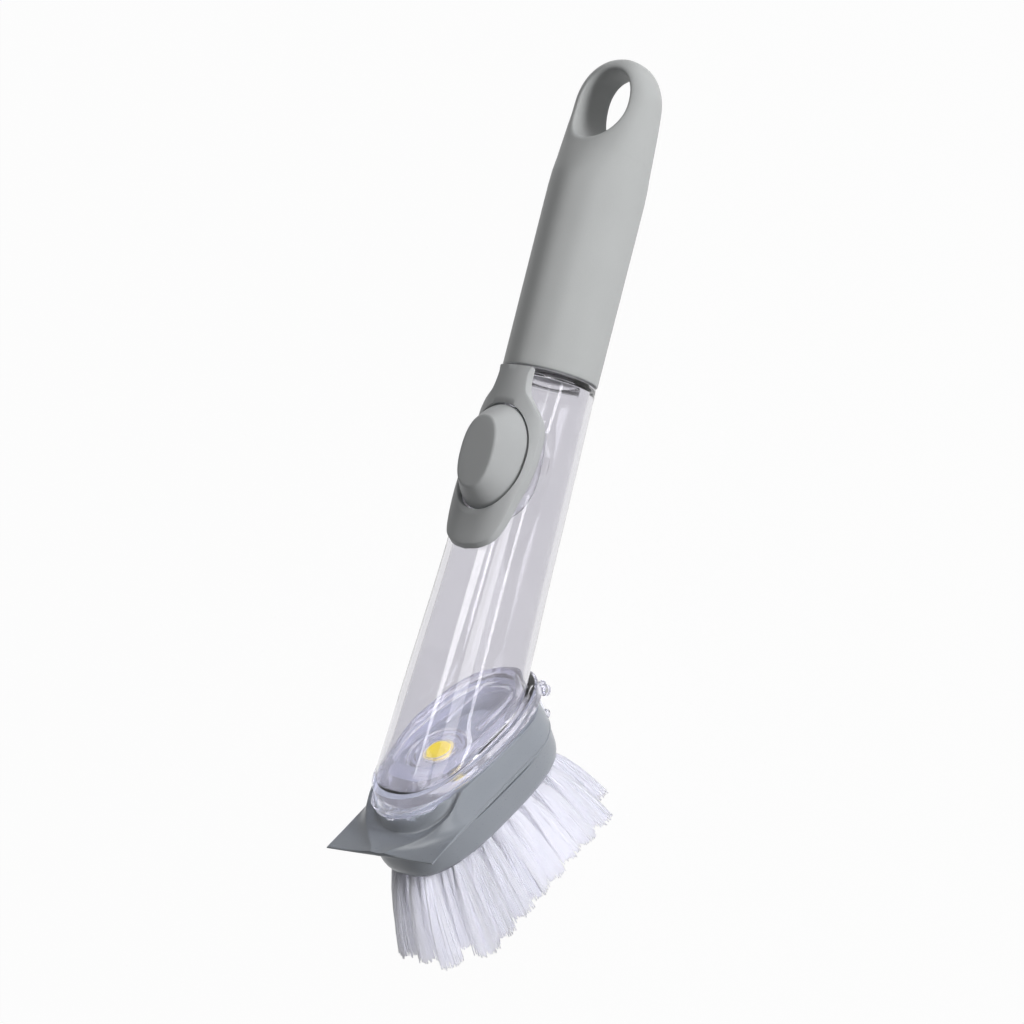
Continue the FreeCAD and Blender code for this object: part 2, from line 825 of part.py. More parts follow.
def resting_placement(nodes):
    """Lays the wand down on the heel of its bristles and on its handle, with the button up."""
    heel_row = nodes["bristle_row_%d" % tuft_rows]
    span = head_place + grip_shoulder_place
    tilt = 0
    for _ in range(settling_rounds):
        height_left = laid_box(nodes["handle_grip"], tilt).ZMin - laid_box(heel_row, tilt).ZMin
        tilt += math.degrees(math.atan2(height_left, span))
    box = FreeCAD.BoundBox()
    for shape in nodes.values():
        box.add(laid_box(shape, tilt))
    return Placement(Vector(-box.Center.x, -box.Center.y, -box.ZMin), Rotation(Vector(0, 1, 0), tilt))


os.makedirs("parts", exist_ok=True)
nodes = build_nodes()
resting = resting_placement(nodes)
for name, shape in nodes.items():
    shape.Placement = resting.multiply(shape.Placement)
    shape.exportStep("parts/%s.step" % name)
print("rest tilt", round(math.degrees(resting.Rotation.Angle), 4), "moved by", resting.Base)
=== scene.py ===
import json
import math
import random

import bmesh
import bpy
from mathutils import Matrix, Vector


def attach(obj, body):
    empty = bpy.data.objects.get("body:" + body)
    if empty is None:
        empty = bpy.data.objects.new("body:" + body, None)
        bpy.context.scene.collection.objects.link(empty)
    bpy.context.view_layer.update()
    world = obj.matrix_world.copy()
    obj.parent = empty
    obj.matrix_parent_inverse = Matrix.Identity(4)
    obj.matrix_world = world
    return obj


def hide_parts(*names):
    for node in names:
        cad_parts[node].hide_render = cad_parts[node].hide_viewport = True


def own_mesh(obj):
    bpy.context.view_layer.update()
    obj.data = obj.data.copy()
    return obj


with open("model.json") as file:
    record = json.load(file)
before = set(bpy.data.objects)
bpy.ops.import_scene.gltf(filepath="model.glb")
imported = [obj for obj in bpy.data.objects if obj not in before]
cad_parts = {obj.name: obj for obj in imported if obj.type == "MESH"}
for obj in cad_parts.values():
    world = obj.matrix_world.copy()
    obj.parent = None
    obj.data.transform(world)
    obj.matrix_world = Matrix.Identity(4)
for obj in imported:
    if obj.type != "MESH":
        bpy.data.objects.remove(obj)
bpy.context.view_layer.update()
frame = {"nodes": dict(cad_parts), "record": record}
print("frame loaded with", len(frame["nodes"]), "nodes")

# Two working frames in millimetres. Wand: x from the handle's rim to its end, z to the button side.
# Head: x from the toe to the heel of the brush, z out of the head towards the tube.
jointOf = {joint["name"]: joint for joint in frame["record"]["behaviour"]["joints"]}
toMetres = Matrix.Scale(0.001, 4)
headSpot = {"place": -112.0, "tilt": 40.0}


def axesMatrix(along, across, up):
    return Matrix((along, across, up)).transposed().to_4x4()


wandAlong = Vector(jointOf["handle_unscrew"]["axis"])
wandUp = -Vector(jointOf["button_press"]["axis"])
wandTurn = axesMatrix(wandAlong, wandUp.cross(wandAlong), wandUp)
wandFrame = Matrix.Translation(jointOf["handle_unscrew"]["pos_m"]) @ wandTurn @ toMetres
headTurn = Matrix.Rotation(math.radians(headSpot["tilt"]), 4, "Y")
headInWand = Matrix.Translation((headSpot["place"], 0, 0)) @ headTurn
wandInHead = headInWand.inverted()
headFrame = wandFrame @ headInWand


# small helpers for lengths and curves
def follow(table, x, column=1):         # smooth curve through the rows of a table, with no overshoot
    if x <= table[0][0]:
        return table[0][column]
    if x >= table[-1][0]:
        return table[-1][column]
    slopes = [(b[column] - a[column]) / (b[0] - a[0]) for a, b in zip(table, table[1:])]
    index = max(i for i in range(len(slopes)) if table[i][0] <= x)

    def leanAt(i):
        if i == 0 or i == len(slopes):
            return slopes[min(i, len(slopes) - 1)]
        if slopes[i - 1] * slopes[i] <= 0:
            return 0.0
        return 2 / (1 / slopes[i - 1] + 1 / slopes[i])

    width = table[index + 1][0] - table[index][0]
    share = (x - table[index][0]) / width
    start, end = table[index][column], table[index + 1][column]
    bend = leanAt(index) * width * share * (1 - share) ** 2
    bend -= leanAt(index + 1) * width * share ** 2 * (1 - share)
    return start + (end - start) * share ** 2 * (3 - 2 * share) + bend


def ease(share):
    share = min(1.0, max(0.0, share))
    return share * share * (3 - 2 * share)


def turns(count):       # angles in even steps, once round
    return [math.tau * step / count for step in range(count)]


ovalPower = 2.3         # most ovals of this wand are a little squarer than an ellipse
roundPower = 2.0


def ovalReach(angle, halfLength, halfWidth, power=ovalPower):
    along, across = abs(math.cos(angle) / halfLength), abs(math.sin(angle) / halfWidth)
    return (along ** power + across ** power) ** (-1 / power)


def ovalRing(count, place, halfLength, halfWidth, level, power=ovalPower):
    spots = []
    for angle in turns(count):
        reach = ovalReach(angle, halfLength, halfWidth, power)
        spots.append(Vector((place + reach * math.cos(angle), reach * math.sin(angle), level)))
    return spots


# rings of a loft: a circle is made once, then each next ring is pulled out of the last one
def startRing(bm, spots):
    ring = bmesh.ops.create_circle(bm, segments=len(spots), radius=1.0)["verts"]
    for vert, spot in zip(ring, spots):
        vert.co = spot
    return ring


def ringEdges(bm, ring):
    return [bm.edges.get((a, b)) for a, b in zip(ring, ring[1:] + ring[:1])]


def growRing(bm, ring, spots):
    grown = bmesh.ops.extrude_edge_only(bm, edges=ringEdges(bm, ring))["geom"]
    fresh = {item for item in grown if isinstance(item, bmesh.types.BMVert)}
    nextRing = []
    for vert, spot in zip(ring, spots):
        twin = next(edge.other_vert(vert) for edge in vert.link_edges if edge.other_vert(vert) in fresh)
        twin.co = spot
        nextRing.append(twin)
    return nextRing


def loft(bm, rings, capStart=False, capEnd=False):
    first = ring = startRing(bm, rings[0])
    for spots in rings[1:]:
        ring = growRing(bm, ring, spots)
    for last, capped in ((first, capStart), (ring, capEnd)):
        if capped:
            bmesh.ops.contextual_create(bm, geom=ringEdges(bm, last))


def closeUp(bm, distance=0.002):
    bmesh.ops.remove_doubles(bm, verts=bm.verts, dist=distance)
    bmesh.ops.recalc_face_normals(bm, faces=bm.faces)


def turnProfile(bm, profile, axis, centre, steps):    # a closed profile, spun once round its axis
    verts = [bm.verts.new(spot) for spot in profile]
    edges = [bm.edges.new(pair) for pair in zip(verts, verts[1:] + verts[:1])]
    bmesh.ops.spin(
        bm, geom=verts + edges, axis=axis, cent=centre, angle=math.tau, steps=steps, use_merge=True)


def softEdges(bm, lines, offset, segments=2):
    bmesh.ops.bevel(
        bm, geom=lines, offset=offset, segments=segments, profile=0.5, affect="EDGES", material=-1)


def linesOf(verts):     # their edges, each once and in a fixed order
    return list(dict.fromkeys(line for vert in verts for line in vert.link_edges))


def addBlock(bm, low, high, edge=0.0):
    low, high = Vector(low), Vector(high)
    size = Matrix.Diagonal((high - low).to_4d())
    size[3][3] = 1.0
    cube = bmesh.ops.create_cube(bm, size=1.0, matrix=Matrix.Translation((low + high) / 2) @ size)
    if edge:
        softEdges(bm, linesOf(cube["verts"]), edge, segments=3)


def addPin(bm, radius, place, level, start, end, edge=0.0, segments=40):    # a round bar across the head
    matrix = Matrix.Translation((place, (start + end) / 2, level)) @ Matrix.Rotation(math.radians(90), 4, "X")
    bar = bmesh.ops.create_cone(
        bm, cap_ends=True, segments=segments, radius1=radius, radius2=radius, depth=end - start,
        matrix=matrix)
    if edge:
        rims = [line for line in linesOf(bar["verts"])
                if any(len(face.verts) == segments for face in line.link_faces)]
        softEdges(bm, rims, edge)


def meshOf(name, bm):
    mesh = bpy.data.meshes.new(name)
    bm.to_mesh(mesh)
    bm.free()
    return mesh


def lofted(name, rings, capped=False):
    bm = bmesh.new()
    loft(bm, rings, capStart=capped, capEnd=capped)
    closeUp(bm)
    return meshOf(name, bm)


def turned(name, profile, axis, centre, steps):
    bm = bmesh.new()
    turnProfile(bm, profile, axis, centre, steps)
    closeUp(bm)
    return meshOf(name, bm)


def carve(mesh, steps):     # booleans, applied at once; each step is an operation and the mesh that it takes
    piece = bpy.data.objects.new("carved", mesh)
    bpy.context.collection.objects.link(piece)
    tools = []
    for operation, toolMesh in steps:
        tool = bpy.data.objects.new("tool", toolMesh)
        bpy.context.collection.objects.link(tool)
        tools.append(tool)
        modifier = piece.modifiers.new("carve", "BOOLEAN")
        modifier.operation = operation
        modifier.solver = "EXACT"
        modifier.object = tool
    result = bpy.data.meshes.new_from_object(piece.evaluated_get(bpy.context.evaluated_depsgraph_get()))
    for used in [piece] + tools:
        bpy.data.objects.remove(used)
    return result


def addPiece(name, mesh, placing, body, material, nodes=(), sharp=38.0):
    mesh.name = name
    mesh.transform(placing)
    mesh.materials.clear()
    mesh.materials.append(material)
    mesh.shade_smooth()
    mesh.set_sharp_from_angle(angle=math.radians(sharp))
    piece = bpy.data.objects.new(name, mesh)
    bpy.context.collection.objects.link(piece)
    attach(piece, body)
    if nodes:
        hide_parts(*nodes)
    return piece


# Materials
def colour(red, green, blue):       # screen colour, 0 to 255, as Blender's linear colour
    linear = []
    for value in (red, green, blue):
        share = value / 255
        linear.append(share / 12.92 if share <= 0.04045 else ((share + 0.055) / 1.055) ** 2.4)
    return (*linear, 1.0)


def mouldedGroup():     # colour drift, roughness drift and a fine spark-eroded grain
    group = bpy.data.node_groups.new("moulded surface", "ShaderNodeTree")
    sockets = (
        ("Light", "INPUT", "NodeSocketColor"), ("Dark", "INPUT", "NodeSocketColor"),
        ("Smooth", "INPUT", "NodeSocketFloat"), ("Dull", "INPUT", "NodeSocketFloat"),
        ("Grain Scale", "INPUT", "NodeSocketFloat"), ("Drift Scale", "INPUT", "NodeSocketFloat"),
        ("Color", "OUTPUT", "NodeSocketColor"), ("Roughness", "OUTPUT", "NodeSocketFloat"),
        ("Height", "OUTPUT", "NodeSocketFloat"))
    for name, side, kind in sockets:
        group.interface.new_socket(name=name, in_out=side, socket_type=kind)
    nodes, links = group.nodes, group.links
    taken = nodes.new("NodeGroupInput")
    given = nodes.new("NodeGroupOutput")
    spot = nodes.new("ShaderNodeTexCoord")
    drift = nodes.new("ShaderNodeTexNoise")
    drift.inputs["Detail"].default_value = 4.0
    grain = nodes.new("ShaderNodeTexNoise")
    grain.inputs["Detail"].default_value = 3.0
    grain.inputs["Roughness"].default_value = 0.6
    for noise, scale in ((drift, "Drift Scale"), (grain, "Grain Scale")):
        links.new(spot.outputs["Object"], noise.inputs["Vector"])
        links.new(taken.outputs[scale], noise.inputs["Scale"])
    blend = nodes.new("ShaderNodeMix")
    blend.data_type = "RGBA"
    links.new(drift.outputs["Fac"], blend.inputs["Factor"])
    links.new(taken.outputs["Dark"], blend.inputs["A"])
    links.new(taken.outputs["Light"], blend.inputs["B"])
    sheen = nodes.new("ShaderNodeMapRange")
    links.new(grain.outputs["Fac"], sheen.inputs["Value"])
    links.new(taken.outputs["Smooth"], sheen.inputs["To Min"])
    links.new(taken.outputs["Dull"], sheen.inputs["To Max"])
    links.new(blend.outputs["Result"], given.inputs["Color"])
    links.new(sheen.outputs["Result"], given.inputs["Roughness"])
    links.new(grain.outputs["Fac"], given.inputs["Height"])
    return group


moulded = mouldedGroup()


def newMaterial(name):
    material = bpy.data.materials.new(name)
    material.use_nodes = True
    return material, material.node_tree.nodes, material.node_tree.links


def addMoulded(nodes, links, shader, look):      # the shared surface group, wired to a shader
    surface = nodes.new("ShaderNodeGroup")
    surface.node_tree = moulded
    values = {
        "Light": colour(*look["light"]), "Dark": colour(*look["dark"]), "Smooth": look["smooth"],
        "Dull": look["dull"], "Grain Scale": look["grain"], "Drift Scale": look["drift"]}
    for socket, value in values.items():
        surface.inputs[socket].default_value = value
    links.new(surface.outputs["Color"], shader.inputs["Base Color"])
    links.new(surface.outputs["Roughness"], shader.inputs["Roughness"])
    bump = nodes.new("ShaderNodeBump")
    bump.inputs["Strength"].default_value = look["bump"]
    bump.inputs["Distance"].default_value = look["depth"]
    links.new(surface.outputs["Height"], bump.inputs["Height"])
    links.new(bump.outputs["Normal"], shader.inputs["Normal"])


def letThrough(nodes, links, shader, tint):     # light that shadow rays carry on through the piece
    through = nodes.new("ShaderNodeBsdfTransparent")
    through.inputs["Color"].default_value = colour(*tint)
    path = nodes.new("ShaderNodeLightPath")
    mix = nodes.new("ShaderNodeMixShader")
    links.new(path.outputs["Is Shadow Ray"], mix.inputs["Fac"])
    links.new(shader.outputs["BSDF"], mix.inputs[1])
    links.new(through.outputs["BSDF"], mix.inputs[2])
    links.new(mix.outputs["Shader"], nodes["Material Output"].inputs["Surface"])


def plastic(name, look):
    material, nodes, links = newMaterial(name)
    shader = nodes["Principled BSDF"]
    shader.inputs["IOR"].default_value = look.get("ior", 1.46)
    shader.inputs["Metallic"].default_value = look.get("metal", 0.0)
    if "glow" in look:
        shader.inputs["Subsurface Weight"].default_value = look["glow"]
        shader.inputs["Subsurface Radius"].default_value = (look["glowDepth"],) * 3
        shader.inputs["Subsurface Scale"].default_value = 1.0
    addMoulded(nodes, links, shader, look)
    return material


def clearPlastic(name, look):       # glass-clear moulding that lets the light through to what it covers
    material, nodes, links = newMaterial(name)
    shader = nodes["Principled BSDF"]
    shader.inputs["Transmission Weight"].default_value = look["clear"]
    shader.inputs["IOR"].default_value = look["ior"]
    addMoulded(nodes, links, shader, look)
    letThrough(nodes, links, shader, look["shadow"])
    return material


gripSoft = plastic("soft grip grey", {
    "light": (178, 180, 180), "dark": (171, 173, 173), "smooth": 0.40, "dull": 0.52,
    "grain": 2600.0, "drift": 60.0, "bump": 0.10, "depth": 0.0003})
buttonGrey = plastic("button grey", {
    "light": (178, 180, 181), "dark": (171, 173, 174), "smooth": 0.42, "dull": 0.55,
    "grain": 2600.0, "drift": 80.0, "bump": 0.10, "depth": 0.0003})
shellGrey = plastic("head grey", {
    "light": (144, 149, 157), "dark": (138, 143, 151), "smooth": 0.24, "dull": 0.34,
    "grain": 1800.0, "drift": 70.0, "bump": 0.05, "depth": 0.0002})
plugWhite = plastic("inner white", {
    "light": (228, 229, 227), "dark": (214, 216, 214), "smooth": 0.30, "dull": 0.42,
    "grain": 1500.0, "drift": 90.0, "bump": 0.05, "depth": 0.0002})
sealGrey = plastic("seal rubber", {
    "light": (92, 94, 96), "dark": (78, 80, 82), "smooth": 0.55, "dull": 0.70,
    "grain": 3000.0, "drift": 150.0, "bump": 0.15, "depth": 0.0003})
valveYellow = plastic("valve yellow", {
    "light": (232, 208, 40), "dark": (214, 188, 24), "smooth": 0.35, "dull": 0.48,
    "grain": 2500.0, "drift": 200.0, "bump": 0.08, "depth": 0.0003})
bristleWhite = plastic("bristle white", {
    "light": (240, 240, 248), "dark": (230, 230, 240), "smooth": 0.40, "dull": 0.55,
    "glow": 1.0, "glowDepth": 0.002, "grain": 900.0, "drift": 160.0, "bump": 0.04, "depth": 0.0002})
pinSteel = plastic("pin steel", {
    "light": (198, 198, 200), "dark": (176, 177, 180), "smooth": 0.20, "dull": 0.34, "metal": 1.0,
    "grain": 4000.0, "drift": 400.0, "bump": 0.05, "depth": 0.0001})
clearShell = clearPlastic("clear tube", {
    "light": (229, 228, 232), "dark": (224, 223, 228), "smooth": 0.015, "dull": 0.035,
    "ior": 1.46, "clear": 1.0, "shadow": (250, 250, 252),
    "grain": 300.0, "drift": 60.0, "bump": 0.03, "depth": 0.0002})
clearBase = clearPlastic("clear base", {
    "light": (246, 246, 252), "dark": (236, 236, 246), "smooth": 0.02, "dull": 0.06,
    "ior": 1.42, "clear": 0.9, "shadow": (252, 252, 254),
    "grain": 300.0, "drift": 90.0, "bump": 0.03, "depth": 0.0002})
clearSoft = clearPlastic("clear silicone", {
    "light": (244, 244, 246), "dark": (236, 236, 240), "smooth": 0.30, "dull": 0.42,
    "ior": 1.41, "clear": 0.8, "shadow": (240, 240, 244),
    "grain": 800.0, "drift": 120.0, "bump": 0.05, "depth": 0.0002})
print("materials made")


# Handle grip: a round body that thins out into a loop with a hang hole
grip = {
    "length": 99.8, "rimRadius": 14.7, "rimRounding": 0.5,
    "halfWidth": ((0.0, 14.7), (60.0, 14.95), (72.0, 15.05), (78.0, 15.1), (85.3, 15.1)),
    "halfThickness": (
        (0.0, 14.7), (56.0, 14.9), (60.0, 14.7), (66.0, 13.2), (72.0, 11.2), (78.0, 9.8), (84.0, 8.8),
        (90.0, 8.0), (94.0, 7.8), (99.8, 7.6)),
    "squareness": ((60.0, 2.0), (66.0, 2.12), (72.0, 2.42), (78.0, 2.6)),
    "loopStart": 68.0, "endPlace": 85.3, "endReach": 14.5, "endFullness": 0.36, "endLift": 1.2,
    "liftStart": 80.0,
    "holePlace": 84.0, "holeHalfLength": 11.4, "holeHalfWidth": 10.0, "holePower": 2.15, "holeRounding": 1.7,
    "boreRadius": 12.5, "boreDepth": 54.0, "boreDome": 6.2,
    "ringPlaces": (68, 66, 64, 62, 61, 60, 59, 57, 52, 44, 36, 28, 20, 12, 6, 2),
    "sides": 64, "loopRings": 14, "sideSteps": 14, "endSteps": 36, "holeSteps": 6, "rimSteps": 4,
    "domeSteps": 6}


def gripHalfWidth(x):
    past = max(0.0, (x - grip["endPlace"]) / grip["endReach"])
    return follow(grip["halfWidth"], x) * math.sqrt(max(0.0, 1 - past ** 2))


def gripHalfThickness(x):
    past = max(0.0, (x - grip["endPlace"]) / grip["endReach"])
    return follow(grip["halfThickness"], x) * max(0.0, 1 - past ** 2) ** grip["endFullness"]


def gripLift(x):
    return grip["endLift"] * ease((x - grip["liftStart"]) / (grip["length"] - grip["liftStart"]))


def gripSpot(x, y, side):
    half = gripHalfWidth(x)
    share = min(1.0, abs(y) / half) if half > 0 else 1.0
    power = follow(grip["squareness"], x)
    return Vector((x, y, gripLift(x) + side * gripHalfThickness(x) * (1 - share ** power) ** (1 / power)))


def gripRing(x, halfWidth, halfThickness):
    spots = []
    power = follow(grip["squareness"], x)
    for angle in turns(grip["sides"]):
        height = max(0.0, 1 - abs(math.cos(angle)) ** power) ** (1 / power)
        spots.append(Vector((x, halfWidth * math.cos(angle),
                             gripLift(x) + math.copysign(halfThickness * height, math.sin(angle)))))
    return spots


def loopOutline():      # plan of the loop, once round: over the body's ring, then along the edge of the loop
    start, hole = grip["loopStart"], grip["endPlace"]
    half = grip["sides"] // 2
    outline = []
    for step in range(half + 1):
        outline.append(Vector((start, gripHalfWidth(start) * math.cos(math.pi * step / half))))
    sidePlaces = [start + (hole - start) * step / grip["sideSteps"] for step in range(1, grip["sideSteps"])]
    outline += [Vector((x, -gripHalfWidth(x))) for x in sidePlaces]
    for step in range(grip["endSteps"] + 1):
        angle = math.pi * (step / grip["endSteps"] - 0.5)
        reach = grip["endReach"] * math.cos(angle)
        outline.append(Vector((hole + reach, gripHalfWidth(hole) * math.sin(angle))))
    outline += [Vector((x, gripHalfWidth(x))) for x in reversed(sidePlaces)]
    return outline


def loopRings(outline, side):   # from the outline inwards, over the rounded rim and into the hole
    hole = Vector((grip["holePlace"], 0))
    rounding = grip["holeRounding"]
    outwards = []
    for spot in outline:
        out = (spot - hole).normalized()
        reach = ovalReach(
            math.atan2(out.y, out.x), grip["holeHalfLength"], grip["holeHalfWidth"], grip["holePower"])
        outwards.append((out, reach))
    rings = []
    for step in range(grip["loopRings"] + 1):
        share = 1 - math.cos(math.pi / 2 * step / grip["loopRings"])
        ring = []
        for spot, (out, radius) in zip(outline, outwards):
            plan = spot.lerp(hole + out * (radius + rounding), share)
            ring.append(gripSpot(plan.x, plan.y, side))
        rings.append(ring)
    for step in range(1, grip["holeSteps"] + 1):
        share = step / grip["holeSteps"]
        ring = []
        for last, (out, radius) in zip(rings[grip["loopRings"]], outwards):
            plan = hole + out * radius
            corner = gripSpot(plan.x, plan.y, side)
            inside = corner - Vector((0, 0, side * rounding))
            ring.append(last.lerp(corner, share).lerp(corner.lerp(inside, share), share))
        rings.append(ring)
    return rings


def makeGrip():
    bm = bmesh.new()
    outline = loopOutline()
    loft(bm, loopRings(outline, 1) + loopRings(outline, -1)[::-1])
    rim, rounding, bore = grip["rimRadius"], grip["rimRounding"], grip["boreRadius"]
    rings = [gripRing(x, gripHalfWidth(x), gripHalfThickness(x)) for x in grip["ringPlaces"]]
    for step in range(grip["rimSteps"] + 1):
        angle = math.pi / 2 * step / grip["rimSteps"]
        radius = rim - rounding * (1 - math.cos(angle))
        rings.append(gripRing(rounding * (1 - math.sin(angle)), radius, radius))
    for x, radius in ((0, bore + rounding), (rounding, bore), (grip["boreDepth"], bore)):
        rings.append(gripRing(x, radius, radius))
    for step in range(1, grip["domeSteps"]):
        angle = math.pi / 2 * step / grip["domeSteps"]
        radius = bore * math.cos(angle)
        rings.append(gripRing(grip["boreDepth"] + grip["boreDome"] * math.sin(angle), radius, radius))
    loft(bm, rings, capEnd=True)
    closeUp(bm)
    addPiece("handle_grip_skin", meshOf("grip", bm), wandFrame, "handle", gripSoft,
             ["handle_grip"])
    print("handle grip made")


# Threaded socket in the grip, the thread on the neck, and the ring seal between them
thread = {
    "neckRadius": 10.4, "socketRadius": 10.75, "socketOuter": 12.45, "floorPlace": 12.1, "endPlace": 13.9,
    "edge": 0.3, "corner": 0.6, "floorFillet": 0.5, "ventRadius": 1.2, "sides": 96,
    "ridge": 0.28, "ridgeSink": 0.1, "ridgeWidth": 1.5, "pitch": 6.0, "turns": 1.25, "neckStart": 1.0,
    "socketStart": 4.0, "stepsPerTurn": 48,
    "sealLow": 10.6, "sealHigh": 12.0, "sealBore": 8.2, "sealBulge": 0.4, "sealSides": 80}


def addHelix(bm, radius, start, ridge):     # one flattened ridge that climbs round the axis
    width, sink = thread["ridgeWidth"] / 2, math.copysign(thread["ridgeSink"], ridge)
    profile = ((start - width, radius - sink), (start - width / 2, radius + ridge),
               (start + width / 2, radius + ridge), (start + width, radius - sink))
    verts = [bm.verts.new((x, 0, r)) for x, r in profile]
    face = bm.faces.new(verts)
    steps = int(thread["turns"] * thread["stepsPerTurn"])
    climb = Vector((thread["pitch"] / thread["stepsPerTurn"], 0, 0))
    bmesh.ops.spin(
        bm, geom=[face] + verts + list(face.edges), axis=(1, 0, 0), cent=(0, 0, 0), dvec=climb,
        angle=math.tau * thread["turns"], steps=steps)


def alongProfile(points):
    return [Vector((x, 0, radius)) for x, radius in points]


def makeSocket():
    bm = bmesh.new()
    inner, outer, vent = thread["socketRadius"], thread["socketOuter"], thread["ventRadius"]
    floor, end = thread["floorPlace"], thread["endPlace"]
    edge, corner, fillet = thread["edge"], thread["corner"], thread["floorFillet"]
    turnProfile(bm, alongProfile((
        (edge, inner), (0.0, inner + edge), (0.0, outer - edge), (edge, outer), (end - corner, outer),
        (end, outer - corner), (end, vent), (floor, vent), (floor, inner - fillet), (floor - fillet, inner))),
        (1, 0, 0), (0, 0, 0), thread["sides"])
    closeUp(bm)
    addHelix(bm, inner, thread["socketStart"], -thread["ridge"])
    bmesh.ops.recalc_face_normals(bm, faces=bm.faces)
    addPiece("threaded_socket", meshOf("socket", bm), wandFrame, "handle", plugWhite,
             ["handle_plug"])
    low, high, bore, outer = thread["sealLow"], thread["sealHigh"], thread["sealBore"], thread["neckRadius"]
    bulge = thread["sealBulge"]
    seal = turned("seal", alongProfile((
        (low, bore + bulge), (low + bulge, bore), (high - bulge, bore), (high, bore + bulge),
        (high, outer - bulge), (high - bulge, outer), (low + bulge, outer), (low, outer - bulge))),
        (1, 0, 0), (0, 0, 0), thread["sealSides"])
    addPiece("ring_seal", seal, wandFrame, "neck_seal", sealGrey,
             ["neck_gasket"], sharp=60.0)
    print("socket and seal made")


# Soap tube: a clear hollow moulding from a round top to a flat-fronted slanted foot
tube = {
    "top": -0.5, "wall": 1.8, "footWall": 0.8, "taperStart": 0.9, "collarEnd": -2.8, "neckTop": 10.5,
    "neckBore": 8.2, "neckEdge": 0.3, "neckCorner": 0.4,
    # distance below the top, half width, front, back, power of the front, power of the back
    "sections": (
        (0.0, 14.5, 14.5, 14.5, 2.0, 2.0), (57.0, 15.0, 16.6, 14.6, 3.0, 2.2),
        (100.0, 16.5, 19.0, 15.0, 3.0, 2.2), (150.0, 18.0, 21.8, 15.4, 3.0, 2.2)),
    # bead under the handle's rim: distance below the top, radius
    "bead": ((0.0, 13.9), (0.15, 14.3), (0.5, 14.45), (1.5, 14.47), (1.7, 14.25), (2.1, 14.25)),
    "wallStart": 2.4,
    # inside of the shoulder: distance above the collar's end, radius past the bore
    "shoulder": ((0.6, 2.4), (0.9, 0.6), (1.6, 0.0)),
    "sides": 128, "rings": 30, "footLevel": 3.05, "footThickness": 0.4, "footFillet": 0.7,
    "footShift": 1.2, "footHalfLength": 30.0, "footHalfWidth": 17.9,
    # rim of the foot: distance below its upper face and inset, then distance above its underside and inset
    "footUpper": ((-0.15, 0.25), (0.0, 0.12), (0.2, 0.0)), "footLower": ((0.15, 0.0), (0.0, 0.2)),
    "openingLevels": (4.6, 26.0), "searchStart": -170.0, "searchEnd": -40.0, "searchRounds": 36}


def tubeSize(x):
    below = tube["top"] - x
    return [follow(tube["sections"], below, column) for column in range(1, 6)]


def tubeSpot(x, angle, offset=0.0):     # angle 0 at the back, half a turn at the front
    halfWidth, front, back, frontPower, backPower = tubeSize(x)
    depth, power = (front, frontPower) if math.cos(angle) < 0 else (back, backPower)
    reach = ovalReach(angle, depth + offset, halfWidth + offset, power)
    return Vector((x, reach * math.sin(angle), -reach * math.cos(angle)))


def tubeEnd(angle, level, offset=0.0):      # where a line of the tube meets a level of the head
    low, high = tube["searchStart"], tube["searchEnd"]
    for _ in range(tube["searchRounds"]):
        middle = (low + high) / 2
        if (wandInHead @ tubeSpot(middle, angle, offset)).z < level:
            low = middle
        else:
            high = middle
    return (low + high) / 2


def roundRing(x, radius, count):
    return [Vector((x, radius * math.sin(angle), -radius * math.cos(angle))) for angle in turns(count)]


def tubeWall(start, level, offset, lastOffset):     # rings from a level place down to a slanted one
    angles = turns(tube["sides"])
    ends = [tubeEnd(angle, level, lastOffset) for angle in angles]
    rings = []
    for step in range(tube["rings"] + 1):
        share = step / tube["rings"]
        out = offset + (lastOffset - offset) * ease((share - tube["taperStart"]) / (1 - tube["taperStart"]))
        places = [start + (end - start) * share for end in ends]
        rings.append([tubeSpot(place, angle, out) for place, angle in zip(places, angles)])
    return rings


def makeTube():
    sides, top, wall = tube["sides"], tube["top"], tube["wall"]
    low, high = tube["footLevel"], tube["footLevel"] + tube["footThickness"]
    neck, bore, neckTop = thread["neckRadius"], tube["neckBore"], tube["neckTop"]
    edge, corner = tube["neckEdge"], tube["neckCorner"]

    def footRing(level, inset):
        oval = ovalRing(sides, tube["footShift"], tube["footHalfLength"] - inset,
                        tube["footHalfWidth"] - inset, level)
        return [headInWand @ spot for spot in oval]

    rings = [roundRing(top - below, radius, sides) for below, radius in tube["bead"]]
    rings += tubeWall(top - tube["wallStart"], high + tube["footFillet"], 0.0, 0.0)
    rings += [footRing(high - below, inset) for below, inset in tube["footUpper"]]
    rings += [footRing(low + above, inset) for above, inset in tube["footLower"]]
    rings += tubeWall(tube["collarEnd"], low, -wall, -tube["footWall"])[::-1]
    rings += [roundRing(tube["collarEnd"] + above, bore + past, sides) for above, past in tube["shoulder"]]
    for x, radius in ((neckTop - edge, bore), (neckTop, bore + edge), (neckTop, neck - corner),
                      (neckTop - corner, neck), (top + edge, neck), (top, neck + edge)):
        rings.append(roundRing(x, radius, sides))
    rings.append(rings[0])
    opening = lofted("opening", [cupOval(-cup["fit"], level) for level in tube["openingLevels"]], capped=True)
    body = carve(lofted("tube", rings), [("DIFFERENCE", opening)])
    addPiece("soap_tube", body, wandFrame, "reservoir", clearShell, ["reservoir_tube"],
             sharp=42.0)
    bm = bmesh.new()
    addHelix(bm, neck, thread["neckStart"], thread["ridge"])
    closeUp(bm)
    addPiece("neck_thread", meshOf("neckThread", bm), wandFrame, "reservoir", clearShell)
    print("soap tube made")


